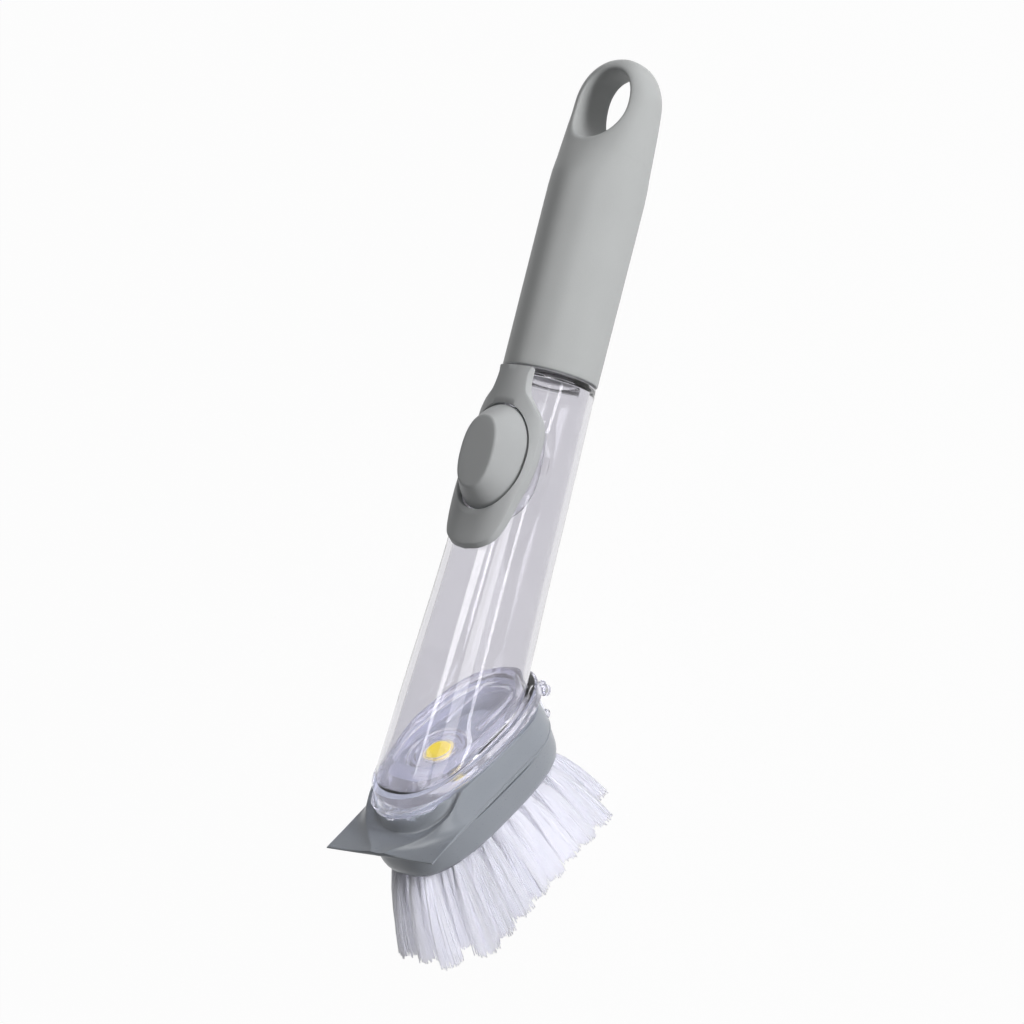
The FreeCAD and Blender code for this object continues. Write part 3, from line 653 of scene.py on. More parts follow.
# Button frame on the tube's front: a raised plate with sloping flanks and an oval opening
bezel = {
    # half outline from the middle of the top edge to the tip of the tongue, along and across
    "outline": (
        (-0.6, 0.0), (-0.6, 5.7), (-0.75, 6.3), (-1.4, 6.7), (-4.5, 6.9), (-8.2, 7.6), (-12.4, 10.4),
        (-16.6, 12.8), (-21.0, 13.6), (-27.0, 13.8), (-35.0, 13.6), (-40.6, 12.9), (-48.6, 11.7),
        (-54.0, 9.6), (-56.9, 4.6), (-57.5, 0.0)),
    "outlineOffset": 0.7, "halfSteps": 120, "bedding": 0.06, "face": 1.55,
    # a flatter arch than the tube's: more height out at the sides, fading out towards the tongue
    "arch": 0.9, "archReach": 12.0, "archStart": -58.0, "archFull": -36.0,
    # inset from the outline and share of the height over the tube
    "flank": (
        (0.0, 0.04), (0.03, 0.12), (0.38, 0.40), (0.76, 0.70), (1.06, 0.94), (1.12, 0.965), (1.2, 0.988),
        (1.3, 1.0)),
    # the top edge stands upright: how far, and over which turns of the outline
    "upright": 0.85, "uprightStart": 0.15, "uprightReach": 0.8,
    "faceSteps": 6, "gapHalfLength": 16.45, "gapHalfWidth": 12.35, "lipRounding": 0.25,
    "gapDrops": (0.9, 1.6), "gapLift": 0.1, "underSteps": 5, "unroll": 15.5}
button = {
    "place": -29.1, "topLevel": 22.2, "topHalfLength": 11.25, "topHalfWidth": 6.9, "edge": 1.1,
    "halfLength": 16.15, "halfWidth": 12.05, "endLevel": 15.6, "sideLevel": 12.3, "wall": 1.6, "sink": 0.6,
    "skirtLow": 11.3, "topShares": (0.25, 0.5, 0.75), "edgeSteps": 6, "edgeReach": 0.2, "edgeDrop": 0.7,
    "flankStart": 0.4, "flankShares": (0.12, 0.25, 0.4, 0.55, 0.7, 0.82, 0.92), "swell": 0.35,
    "footShare": 0.985, "footDrop": 0.7, "roofDrop": 1.5, "sides": 96}
cup = {
    "halfLength": 17.25, "halfWidth": 12.6, "fit": 0.1, "wall": 0.4, "floor": 7.0, "floorThickness": 0.9,
    "rimSink": 0.05, "underInset": 6.0,
    # inset and height of the rounded edge below, and of the fillet round the floor
    "underEdge": ((1.2, 0.0), (0.3, 0.3), (0.0, 1.0)), "floorFillet": ((0.0, 0.8), (0.5, 0.0)),
    # post that pushes the button back, with the growth and height of its foot
    "postHalfLength": 6.0, "postHalfWidth": 4.0, "postTop": 20.45, "postEdge": 0.6,
    "postFoot": ((2.4, 0.0), (0.6, 0.5), (0.0, 1.6)), "press": 3.5}


def overTube(x, y, offset):     # spot on the tube's front, over a place along and across
    halfWidth, front, _, power, _ = tubeSize(x)
    share = min(1.0, abs(y) / (halfWidth + offset))
    return Vector((x, y, (front + offset) * (1 - share ** power) ** (1 / power)))


def unrolled(spot):
    return Vector((spot.x, math.atan2(spot.y, spot.z) * bezel["unroll"]))


def rolled(flat, offset):
    return tubeSpot(flat.x, math.pi - flat.y / bezel["unroll"], offset)


def raised(flat, share):    # spot on the frame, at a share of its height over the tube
    grown = ease((flat.x - bezel["archStart"]) / (bezel["archFull"] - bezel["archStart"]))
    spot = rolled(flat, bezel["face"] * share)
    spot.z += bezel["arch"] * grown * share * (spot.y / bezel["archReach"]) ** 2
    return spot


def bezelOutline():     # even steps along the outline, in unrolled millimetres
    rows = [unrolled(overTube(x, y, bezel["outlineOffset"])) for x, y in bezel["outline"]]
    lengths = [0.0]
    for a, b in zip(rows, rows[1:]):
        lengths.append(lengths[-1] + (b - a).length)
    table = [(length, row.x, row.y) for length, row in zip(lengths, rows)]
    half = []
    for step in range(bezel["halfSteps"] + 1):
        length = lengths[-1] * step / bezel["halfSteps"]
        half.append(Vector((follow(table, length, 1), follow(table, length, 2))))
    return half + [Vector((spot.x, -spot.y)) for spot in half[-2:0:-1]]


def makeBezel():
    outline = bezelOutline()
    count = len(outline)
    inwards = []
    for index in range(count):
        run = (outline[(index + 1) % count] - outline[index - 1]).normalized()
        inwards.append(Vector((run.y, -run.x)))
    if inwards[count // 4].y > 0:
        inwards = [-way for way in inwards]
    rings = []
    for inset, height in bezel["flank"]:
        ring = []
        for spot, way in zip(outline, inwards):
            turn = ease((-way.x - bezel["uprightStart"]) / bezel["uprightReach"])
            flat = spot + way * inset * (1 - bezel["upright"] * turn)
            ring.append(raised(flat, height))
        rings.append(ring)
    faceEdge = [unrolled(spot) for spot in rings[-1]]
    gap = []
    for spot in rings[0]:
        angle = math.atan2(spot.y, spot.x - button["place"])
        reach = ovalReach(angle, bezel["gapHalfLength"], bezel["gapHalfWidth"])
        gap.append(Vector((button["place"] + reach * math.cos(angle), reach * math.sin(angle))))
    lip = bezel["lipRounding"]
    lipFlat = []
    for spot in gap:
        out = (spot - Vector((button["place"], 0))).normalized() * lip
        lipFlat.append(unrolled(overTube(spot.x + out.x, spot.y + out.y, bezel["face"])))
    for step in range(1, bezel["faceSteps"] + 1):
        share = step / bezel["faceSteps"]
        flats = [a.lerp(b, share) for a, b in zip(faceEdge, lipFlat)]
        rings.append([raised(flat, 1.0) for flat in flats])
    for drop in (lip, *bezel["gapDrops"]):
        ring = []
        for spot, last in zip(gap, rings[bezel["faceSteps"] + len(bezel["flank"]) - 1]):
            low = overTube(spot.x, spot.y, bezel["bedding"] + bezel["gapLift"]).z
            ring.append(Vector((spot.x, spot.y, max(low, last.z - drop))))
        rings.append(ring)
    gapFlat = [unrolled(overTube(spot.x, spot.y, bezel["bedding"])) for spot in gap]
    under = [unrolled(spot) for spot in rings[0]]
    for step in range(bezel["underSteps"] + 1):
        share = step / bezel["underSteps"]
        rings.append([rolled(a.lerp(b, share), bezel["bedding"]) for a, b in zip(gapFlat, under)])
    rings.append(rings[0])
    addPiece("button_frame", lofted("bezel", rings), wandFrame, "reservoir", buttonGrey,
             ["button_bezel"], sharp=50.0)
    print("button frame made")


def buttonRing(halfLength, halfWidth, levelOf):
    spots = []
    for angle in turns(button["sides"]):
        reach = ovalReach(angle, halfLength, halfWidth)
        x = button["place"] + reach * math.cos(angle)
        y = reach * math.sin(angle)
        spots.append(Vector((x, y, levelOf(x, y, angle))))
    return spots


def makeButton():
    top, edge, wall = button["topLevel"], button["edge"], button["wall"]
    topLength, topWidth = button["topHalfLength"], button["topHalfWidth"]
    length, width = button["halfLength"], button["halfWidth"]
    flankTop = top - button["flankStart"]

    def footLevel(x, y, angle):
        return button["sideLevel"] + (button["endLevel"] - button["sideLevel"]) * math.cos(angle) ** 2

    def flankRing(share, swell):
        def level(x, y, angle):
            return flankTop + (footLevel(x, y, angle) - flankTop) * share
        return buttonRing(topLength + (length - topLength) * share + swell,
                          topWidth + (width - topWidth) * share + swell, level)

    def skirtEnd(x, y, angle):
        return max(button["skirtLow"], overTube(x, y, -button["sink"]).z)

    rings = []
    for share in button["topShares"]:
        rings.append(buttonRing((topLength - edge) * share, (topWidth - edge) * share, lambda x, y, a: top))
    for step in range(button["edgeSteps"]):
        angle = math.pi / 2 * step / button["edgeSteps"]
        inset = edge * (1 - math.sin(angle)) - button["edgeReach"]
        drop = button["edgeDrop"] * (1 - math.cos(angle))
        rings.append(buttonRing(topLength - inset, topWidth - inset, lambda x, y, a: top - drop))
    for share in button["flankShares"]:
        rings.append(flankRing(share, button["swell"] * math.sin(math.pi * share)))
    rings.append(flankRing(button["footShare"], 0.0))
    rings.append(buttonRing(length, width, lambda x, y, a: footLevel(x, y, a) - button["footDrop"]))
    rings.append(buttonRing(length, width, skirtEnd))
    rings.append(buttonRing(length - wall, width - wall, skirtEnd))
    rings.append(buttonRing(topLength, topWidth, lambda x, y, a: top - wall - button["roofDrop"]))
    rings.append(buttonRing(topLength - wall, topWidth - wall, lambda x, y, a: top - wall))
    addPiece("press_button", lofted("button", rings, capped=True), wandFrame, "button",
             buttonGrey, ["push_button"], sharp=60.0)
    print("button made")


def cupOval(inset, level):
    return ovalRing(
        button["sides"], button["place"], cup["halfLength"] - inset, cup["halfWidth"] - inset, level)


def makeCup():      # soft cup under the button, with the post that pushes it back
    wall, floor, postTop, edge = cup["wall"], cup["floor"], cup["postTop"], cup["postEdge"]
    under = floor - cup["floorThickness"]

    def rim(inset):
        return [overTube(spot.x, spot.y, -cup["rimSink"]) for spot in cupOval(inset, 0)]

    def post(grow, level):
        return ovalRing(button["sides"], button["place"], cup["postHalfLength"] + grow,
                        cup["postHalfWidth"] + grow, level)

    rings = [cupOval(cup["underInset"], under)]
    rings += [cupOval(inset, under + height) for inset, height in cup["underEdge"]]
    rings += [rim(0.0), rim(wall)]
    rings += [cupOval(wall + inset, floor + height) for inset, height in cup["floorFillet"]]
    rings += [post(grow, floor + height) for grow, height in cup["postFoot"]]
    rings += [post(0.0, postTop - edge), post(-edge, postTop)]
    piece = addPiece("pump_cup_soft", lofted("cup", rings, capped=True), wandFrame, "reservoir",
                     clearSoft, ["pump_cup"], sharp=50.0)
    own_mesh(piece)
    print("pump cup made")


# Clear base: flange, low wall inside the tube's foot, skirt over the head, valve seat and latch ears
base = {
    "sides": 128, "flangeTop": 2.98, "flangeBottom": -0.7, "flangeShift": 0.6, "flangeHalfLength": 31.4,
    "flangeHalfWidth": 18.8, "edge": 0.45, "edgeSlack": 0.1, "upperShare": 0.3, "lowerShare": 0.6,
    "wallTop": 6.0, "wallFit": 1.95, "wallThickness": 1.4, "wallFillet": 0.3, "wallEdge": 0.25,
    "skirtShift": -3.3, "skirtHalfLength": 30.4, "skirtHalfWidth": 16.9, "skirtBottom": -2.6,
    "skirtWall": 1.6, "skirtFlare": 0.2, "skirtFillet": 0.3, "skirtEdge": 0.4,
    "valvePlace": -7.6, "seatRadius": 9.15, "seatLevel": 1.2, "seatEdge": 0.2, "seatRim": 1.0,
    "drainRadius": 3.15, "bossRadius": 10.4, "bossBottom": -2.5,
    "lugAngles": (166.0, 180.0, 194.0), "lugWidth": 2.6, "lugHeight": 0.9, "lugDepth": 1.2, "lugInset": 0.9,
    "lugSink": 0.2, "lugEdge": 0.2,
    "ribStart": 3.2, "ribEnd": 21.0, "ribPlace": 5.6, "ribWidth": 1.1, "ribHeight": 0.9, "ribSink": 0.5,
    "ribEdge": 0.2}
valve = {
    # radius and level over the seat, of the soft valve and of the ring that holds it
    "disc": (
        (0.0, 1.62), (1.6, 1.68), (2.9, 1.84), (3.3, 1.86), (3.65, 1.7), (3.8, 1.3), (3.8, 0.8), (4.6, 0.8),
        (4.8, 0.6), (4.8, 0.1), (4.7, 0.02), (3.0, 0.02), (3.0, -2.4), (1.7, -4.7), (1.3, -5.0), (0.0, -5.0)),
    "ring": (
        (4.95, 0.03), (9.0, 0.03), (9.0, 0.95), (8.1, 1.85), (7.2, 1.85), (6.8, 1.3), (5.2, 1.3), (4.8, 1.9),
        (3.98, 1.9), (3.98, 0.95), (4.95, 0.95)),
    "discSides": 64, "ringSides": 24}
latch = {
    "pinPlace": 30.4, "pinLevel": -3.3, "pinRadius": 0.74, "pinEdge": 0.2, "pinSlack": 0.05,
    "holeRadius": 0.8, "holeReach": 12.0, "knuckleRadius": 1.8, "knuckleEdge": 0.35, "halfWidth": 7.6,
    "armHalfWidth": 4.6, "armThickness": 1.5, "armFace": 29.1, "armEdge": 0.3, "tipLevel": -13.4,
    "noseHalfWidth": 4.0, "noseTop": -9.95, "noseHeight": 1.2, "noseReach": 27.45, "noseWeld": 0.1,
    "noseEdge": 0.15, "earStart": 7.9, "earEnd": 9.5, "earEdge": 0.25, "webReach": 0.8, "webWeld": 0.6}


def bothSides(start, end):      # a span across the head, and its mirror image
    return ((start, end), (-end, -start))


def addPinHole(bm):
    reach = latch["holeReach"]
    addPin(bm, latch["holeRadius"], latch["pinPlace"], latch["pinLevel"], -reach, reach)


def baseRings():    # once round the section, from the drain over the wall and flange to the skirt and boss
    sides = base["sides"]
    angles = turns(sides)

    def disc(radius, level):
        return ovalRing(sides, base["valvePlace"], radius, radius, level, roundPower)

    def oval(kind, inset, level):
        return ovalRing(sides, base[kind + "Shift"], base[kind + "HalfLength"] - inset,
                        base[kind + "HalfWidth"] - inset, level)

    def wall(inset, level):
        return [wandInHead @ tubeSpot(tubeEnd(angle, level, -inset), angle, -inset) for angle in angles]

    top, bottom, low = base["flangeTop"], base["flangeBottom"], base["skirtBottom"]
    drain, seat, boss = base["drainRadius"], base["seatRadius"], base["bossRadius"]
    outer, inner = base["wallFit"], base["wallFit"] + base["wallThickness"]
    wallTop, wallEdge, fillet = base["wallTop"], base["wallEdge"], base["wallFillet"]
    edge, upper, lower = base["edge"], base["edge"] * base["upperShare"], base["edge"] * base["lowerShare"]
    seatLevel, seatEdge, bossLevel = base["seatLevel"], base["seatEdge"], base["bossBottom"]
    rings = []
    for radius, level in ((drain, bossLevel), (drain, seatLevel), (seat, seatLevel), (seat, top - seatEdge),
                          (seat + seatEdge, top), (seat + base["seatRim"], top)):
        rings.append(disc(radius, level))
    for inset, level in ((inner + fillet, top), (inner, top + fillet), (inner, wallTop - wallEdge),
                         (inner - wallEdge, wallTop), (outer + wallEdge, wallTop),
                         (outer, wallTop - wallEdge), (outer, top)):
        rings.append(wall(inset, level))
    for inset, level in ((edge + base["edgeSlack"], top), (upper, top - upper), (0, top - edge),
                         (0, bottom + lower), (lower, bottom)):
        rings.append(oval("flange", inset, level))
    for inset, level in (
            (-base["skirtFlare"], bottom), (0, bottom - base["skirtFillet"]), (0, low + base["skirtEdge"]),
            (base["skirtEdge"], low), (base["skirtWall"], low), (base["skirtWall"], bottom)):
        rings.append(oval("skirt", inset, level))
    return rings + [disc(boss, bottom), disc(boss, bossLevel), rings[0]]


def makeBase():
    top, place, level = base["flangeTop"], latch["pinPlace"], latch["pinLevel"]
    ears, webs, lugs, ribs, hole = (bmesh.new() for _ in range(5))
    for start, end in bothSides(latch["earStart"], latch["earEnd"]):
        addPin(ears, latch["knuckleRadius"], place, level, start, end, latch["earEdge"])
        addBlock(webs, (place - latch["knuckleRadius"], start, level),
                 (place + latch["webReach"], end, base["flangeBottom"] + latch["webWeld"]))
    for turn in base["lugAngles"]:
        angle = math.radians(turn)
        reach = ovalReach(angle, base["skirtHalfLength"], base["skirtHalfWidth"]) - base["lugInset"]
        lug = Matrix.Translation((base["skirtShift"] + reach * math.cos(angle), reach * math.sin(angle),
                                  base["skirtBottom"] - base["lugHeight"] / 2 + base["lugSink"]))
        height = base["lugHeight"] + 2 * base["lugSink"]
        size = Matrix.Diagonal((base["lugDepth"], base["lugWidth"], height, 1.0))
        bmesh.ops.create_cube(lugs, size=1.0, matrix=lug @ Matrix.Rotation(angle, 4, "Z") @ size)
    softEdges(lugs, list(lugs.edges), base["lugEdge"])
    for start, end in bothSides(base["ribPlace"], base["ribPlace"] + base["ribWidth"]):
        addBlock(ribs, (base["ribStart"], start, top - base["ribSink"]),
                 (base["ribEnd"], end, top + base["ribHeight"]), base["ribEdge"])
    addPinHole(hole)
    steps = [("UNION", meshOf("added", bm)) for bm in (ears, webs, lugs, ribs)]
    body = carve(lofted("base", baseRings()), steps + [("DIFFERENCE", meshOf("pinHole", hole))])
    addPiece("clear_base", body, headFrame, "reservoir", clearBase, ["reservoir_base"],
             sharp=42.0)
    print("clear base made")


def makeValve():
    seat, place = base["seatLevel"], base["valvePlace"]

    def turnedMesh(kind):
        profile = [Vector((place + radius, 0, seat + level)) for radius, level in valve[kind]]
        return turned(kind, profile, (0, 0, 1), (place, 0, 0), valve[kind + "Sides"])

    addPiece("valve_disc", turnedMesh("disc"), headFrame, "reservoir", valveYellow,
             ["dispensing_valve"])
    addPiece("valve_ring", turnedMesh("ring"), headFrame, "reservoir", clearBase,
             ["valve_retainer"], sharp=12.0)
    print("valve and its ring made")


def makeLatch():
    place, level, half = latch["pinPlace"], latch["pinLevel"], latch["armHalfWidth"]
    front, thick, wide = latch["armFace"], latch["armThickness"], latch["noseHalfWidth"]
    reach, top, back = latch["noseReach"], latch["noseTop"], front + thick
    under, weld = top - latch["noseHeight"], back - latch["noseWeld"]
    knuckle, arm, lip, nose, hole, pin = (bmesh.new() for _ in range(6))
    addPin(knuckle, latch["knuckleRadius"], place, level, -latch["halfWidth"], latch["halfWidth"],
           latch["knuckleEdge"])
    addBlock(arm, (front, -half, latch["tipLevel"]), (back, half, level), latch["armEdge"])
    addPin(lip, thick, back, latch["tipLevel"], -half, half, latch["knuckleEdge"])
    outline = ((reach, top), (weld, top), (weld, under - thick), (front, under - thick / 2), (reach, under))
    face = nose.faces.new([nose.verts.new((x, -wide, z)) for x, z in outline])
    grown = bmesh.ops.extrude_face_region(nose, geom=[face])["geom"]
    bmesh.ops.translate(nose, vec=(0, 2 * wide, 0),
                        verts=[item for item in grown if isinstance(item, bmesh.types.BMVert)])
    bmesh.ops.recalc_face_normals(nose, faces=nose.faces)
    softEdges(nose, list(nose.edges), latch["noseEdge"])
    addPinHole(hole)
    steps = [("UNION", meshOf("added", bm)) for bm in (arm, lip, nose)]
    body = carve(meshOf("latch", knuckle), steps + [("DIFFERENCE", meshOf("pinHole", hole))])
    addPiece("release_lever", body, headFrame, "latch", clearBase, ["release_latch"])
    end = latch["earEnd"] - latch["pinSlack"]
    addPin(pin, latch["pinRadius"], place, level, -end, end, latch["pinEdge"])
    addPiece("lever_pin", meshOf("pin", pin), headFrame, "reservoir", pinSteel, ["latch_pin"])
    print("release lever and pin made")


# Head shell: leaning side walls that sink to a straight scraper edge, hollowed round the clear toe
shell = {
    "bottom": -9.6, "top": -1.0, "halfWidth": 20.7, "heel": 28.4, "heelRadius": 20.0, "heelSteep": 14.0,
    "blade": -42.0, "bladeSkew": 2.1, "skewStart": -34.0, "lipDrop": 0.45, "lipStart": -38.6,
    # place along, level of the side wall's lower edge
    "edge": ((-42.0, -9.4), (-38.0, -9.3), (-33.6, -9.05), (-29.0, -8.85), (-25.0, -8.8)),
    # the crease over the side wall: place along, place across, level, rounding, power of the wall's rise
    "crease": (
        (-42.0, 2.5, -8.3, 0.3, 4.0), (-40.0, 4.0, -8.18, 0.7, 3.8), (-38.0, 6.7, -8.0, 1.0, 3.6),
        (-36.0, 9.4, -7.7, 1.2, 3.3), (-34.0, 11.8, -7.25, 1.3, 3.0), (-32.0, 13.7, -6.6, 1.3, 2.7),
        (-30.0, 15.05, -5.75, 1.3, 2.4), (-28.0, 16.2, -4.8, 1.2, 2.1), (-26.0, 17.1, -3.9, 1.1, 1.8),
        (-24.0, 17.65, -3.0, 0.9, 1.5), (-22.0, 17.9, -2.25, 0.7, 1.3), (-20.0, 17.95, -1.55, 0.5, 1.1),
        (-18.0, 17.95, -1.0, 0.4, 1.0), (-14.0, 18.2, -1.0, 0.4, 1.0), (-8.0, 18.9, -1.0, 0.35, 1.0),
        (0.0, 19.03, -1.0, 0.35, 1.0)),
    # the hollow round the clear toe: distance from its middle, level
    "hollowPlace": -16.0, "hollowStart": -25.0, "hollowEnd": -18.0,
    "hollow": (
        (16.0, -1.0), (16.4, -3.4), (17.2, -5.8), (17.8, -6.9), (18.5, -7.5), (20.5, -8.1), (22.8, -8.5),
        (26.1, -8.72), (34.0, -8.7)),
    "ridgeFade": 1.4, "leastRun": 0.1, "softness": 0.16,
    # where heights are taken across the crease, in roundings, and their weights
    "smoothing": ((-1.0, 0.1), (-0.5, 0.2), (0.0, 0.4), (0.5, 0.2), (1.0, 0.1)),
    "pocketShift": -3.3, "pocketHalfLength": 30.7, "pocketHalfWidth": 17.2, "pocketFloor": -2.9,
    "outletRadius": 3.3, "recessTop": -6.5, "recessShift": -5.0, "recessHalfLength": 26.2,
    "recessHalfWidth": 17.2, "recessPower": 2.8,
    "channelHalfWidth": 4.5, "channelDepth": 1.3, "ledgeTop": -8.6,
    "channelShares": (0.0, 0.3, 0.6, 0.85, 0.995), "heelSteps": 24, "sideSteps": 70, "bladeSteps": 24,
    # the search for the crease on the way in: step, least and last share, and depth below the heel's top
    "breakStep": 0.004, "breakLeast": 0.06, "breakLast": 0.95, "heelBreak": 0.2,
    # rounded lower edge: share of its height, inset
    "rim": ((0.0, 0.35), (0.1, 0.12), (0.3, 0.0), (0.6, 0.0), (0.86, 0.08), (0.97, 0.28)),
    "flankShares": (0.06, 0.1, 0.2, 0.35, 0.5, 0.65, 0.78, 0.88, 0.94, 0.98, 1.0),
    "innerShares": (
        0.012, 0.03, 0.06, 0.1, 0.15, 0.21, 0.28, 0.36, 0.44, 0.52, 0.6, 0.68, 0.76, 0.83, 0.89, 0.93,
        0.96, 0.985, 1.0),
    "pocketShares": (0.0, 0.02, 0.04, 0.06, 0.09, 0.13, 0.2, 0.4, 0.7, 1.0)}


def softLow(a, b):      # the lower of two heights, with a small rounding where they meet
    soft = shell["softness"]
    return min(a, b) - soft * math.log(1 + math.exp(-abs(a - b) / soft))


def heelHeight(u, w):       # round the heel the side wall grows steeper
    corner = shell["heel"] - shell["heelRadius"]
    side = max(0.0, abs(w) - (shell["halfWidth"] - shell["heelRadius"]))
    reach = math.hypot(u - corner, side)
    turn = side / reach if reach > 0 else 0.0
    last = shell["crease"][-1]
    steep = (shell["top"] - shell["edge"][-1][1]) / (shell["halfWidth"] - last[1])
    steep = shell["heelSteep"] + (steep - shell["heelSteep"]) * turn ** 2
    return softLow(shell["edge"][-1][1] + steep * (shell["heelRadius"] - reach), shell["top"])


def pocketWidth(u):
    share = min(1.0, abs(u - shell["pocketShift"]) / shell["pocketHalfLength"])
    return shell["pocketHalfWidth"] * (1 - share ** ovalPower) ** (1 / ovalPower)


def ridgeHeight(u, w):      # side wall up to the crease, then down into the hollow
    place, level = follow(shell["crease"], u, 1), follow(shell["crease"], u, 2)
    edge, half = follow(shell["edge"], u), shell["halfWidth"]
    if w >= place:
        rise = max(0.0, (half - w) / (half - place)) ** follow(shell["crease"], u, 4)
        return edge + (level - edge) * rise
    deep = ease((shell["hollowEnd"] - u) / (shell["hollowEnd"] - shell["hollowStart"]))
    inwards = min(1.0, (place - w) / max(shell["leastRun"], place - pocketWidth(u)))
    floor = follow(shell["hollow"], math.hypot(u - shell["hollowPlace"], w))
    rim = follow(shell["hollow"], math.hypot(u - shell["hollowPlace"], place))
    return level + deep * (floor + (level - rim) * (1 - inwards) ** shell["ridgeFade"] - level)


def shellHeight(u, w):
    if u > shell["heel"] - shell["heelRadius"]:
        return heelHeight(u, w)
    w, soft = abs(w), follow(shell["crease"], u, 3)
    return sum(share * ridgeHeight(u, abs(w + soft * step)) for step, share in shell["smoothing"])


def shellOutline(channel):      # once round from the middle of the heel, with the lever's channel or without
    heel, radius, half = shell["heel"], shell["heelRadius"], shell["halfWidth"]
    corner, side = heel - radius, half - radius
    gap, depth = shell["channelHalfWidth"], shell["channelDepth"] if channel else 0.0
    spots = [Vector((heel - depth, gap * share)) for share in shell["channelShares"]]
    first = math.asin((gap - side) / radius)
    for step in range(shell["heelSteps"] + 1):
        angle = first + (math.pi / 2 - first) * step / shell["heelSteps"]
        spots.append(Vector((corner + radius * math.cos(angle), side + radius * math.sin(angle))))
    for step in range(1, shell["sideSteps"]):
        spots.append(Vector((corner + (shell["blade"] - corner) * step / shell["sideSteps"], half)))
    for step in range(shell["bladeSteps"] + 1):
        spots.append(Vector((shell["blade"], half * (1 - step / shell["bladeSteps"]))))
    return spots + [Vector((spot.x, -spot.y)) for spot in spots[-2:0:-1]]


def creaseShares(outline, pocket):      # share of the way in at which each column meets the crease
    shares = []
    for start, end in zip(outline, pocket):
        share = 0.0
        while share < shell["breakLast"]:
            spot = start.lerp(end, share)
            onHeel = spot.x >= shell["heel"] - shell["heelRadius"]
            if onHeel and heelHeight(*spot) > shell["top"] - shell["heelBreak"]:
                break
            if not onHeel and abs(spot.y) <= follow(shell["crease"], spot.x):
                break
            share += shell["breakStep"]
        shares.append(max(shell["breakLeast"], share))
    return shares


def makeShell():
    lower, upper = shellOutline(False), shellOutline(True)

    def oval(shift, halfLength, halfWidth, level, power):
        ring = []
        for spot in lower:
            angle = math.atan2(spot.y, spot.x - shift)
            reach = ovalReach(angle, halfLength, halfWidth, power)
            ring.append(Vector((shift + reach * math.cos(angle), reach * math.sin(angle), level)))
        return ring

    pocket = [spot.to_2d() for spot in oval(
        shell["pocketShift"], shell["pocketHalfLength"], shell["pocketHalfWidth"], 0, ovalPower)]
    breaks = creaseShares(upper, pocket)
    rings = []
    centre = Vector((shell["pocketShift"], 0))
    for share, inset in shell["rim"]:
        ring = []
        for spot in lower:
            lip = ease((shell["lipStart"] - spot.x) / (shell["lipStart"] - shell["blade"]))
            under = shell["bottom"] - shell["lipDrop"] * lip
            rise = (shellHeight(*spot) - under) * share
            inwards = (centre - spot).normalized() * inset
            ring.append(Vector((spot.x + inwards.x, spot.y + inwards.y, under + rise)))
        rings.append(ring)
    for share in shell["flankShares"]:
        ring = []
        for start, end, stop, low in zip(upper, pocket, breaks, lower):
            spot = start.lerp(end, stop * share)
            level = shellHeight(*spot)
            if start != low:        # upright back wall of the lever's channel
                level = shell["ledgeTop"] + (level - shell["ledgeTop"]) * share
            ring.append(Vector((spot.x, spot.y, level)))
        rings.append(ring)
    for share in shell["innerShares"]:
        ring = []
        for start, end, stop in zip(upper, pocket, breaks):
            spot = start.lerp(end, stop + (1 - stop) * share)
            ring.append(Vector((spot.x, spot.y, shellHeight(*spot))))
        rings.append(ring)
    outlet = oval(base["valvePlace"], shell["outletRadius"], shell["outletRadius"], 0, roundPower)
    for share in shell["pocketShares"]:
        ring = []
        for start, end in zip(pocket, outlet):
            spot = start.lerp(end.to_2d(), share)
            hollow = follow(shell["hollow"], math.hypot(spot.x - shell["hollowPlace"], spot.y))
            ring.append(Vector((spot.x, spot.y, min(shell["pocketFloor"], hollow))))
        rings.append(ring)
    rings.append([Vector((spot.x, spot.y, shell["recessTop"])) for spot in outlet])
    for level in (shell["recessTop"], shell["bottom"]):
        rings.append(oval(shell["recessShift"], shell["recessHalfLength"], shell["recessHalfWidth"], level,
                          shell["recessPower"]))
    for ring in rings:      # the blade's edge runs a little askew, as it does in the photograph
        for spot in ring:
            reach = ease((shell["skewStart"] - spot.x) / (shell["skewStart"] - shell["blade"]))
            spot.x -= shell["bladeSkew"] * reach * spot.y / shell["halfWidth"]
    addPiece("head_shell_skin", lofted("shell", rings + rings[:1]), headFrame, "brush_head",
             shellGrey, ["head_shell"], sharp=40.0)
    print("head shell made with", len(lower), "columns")


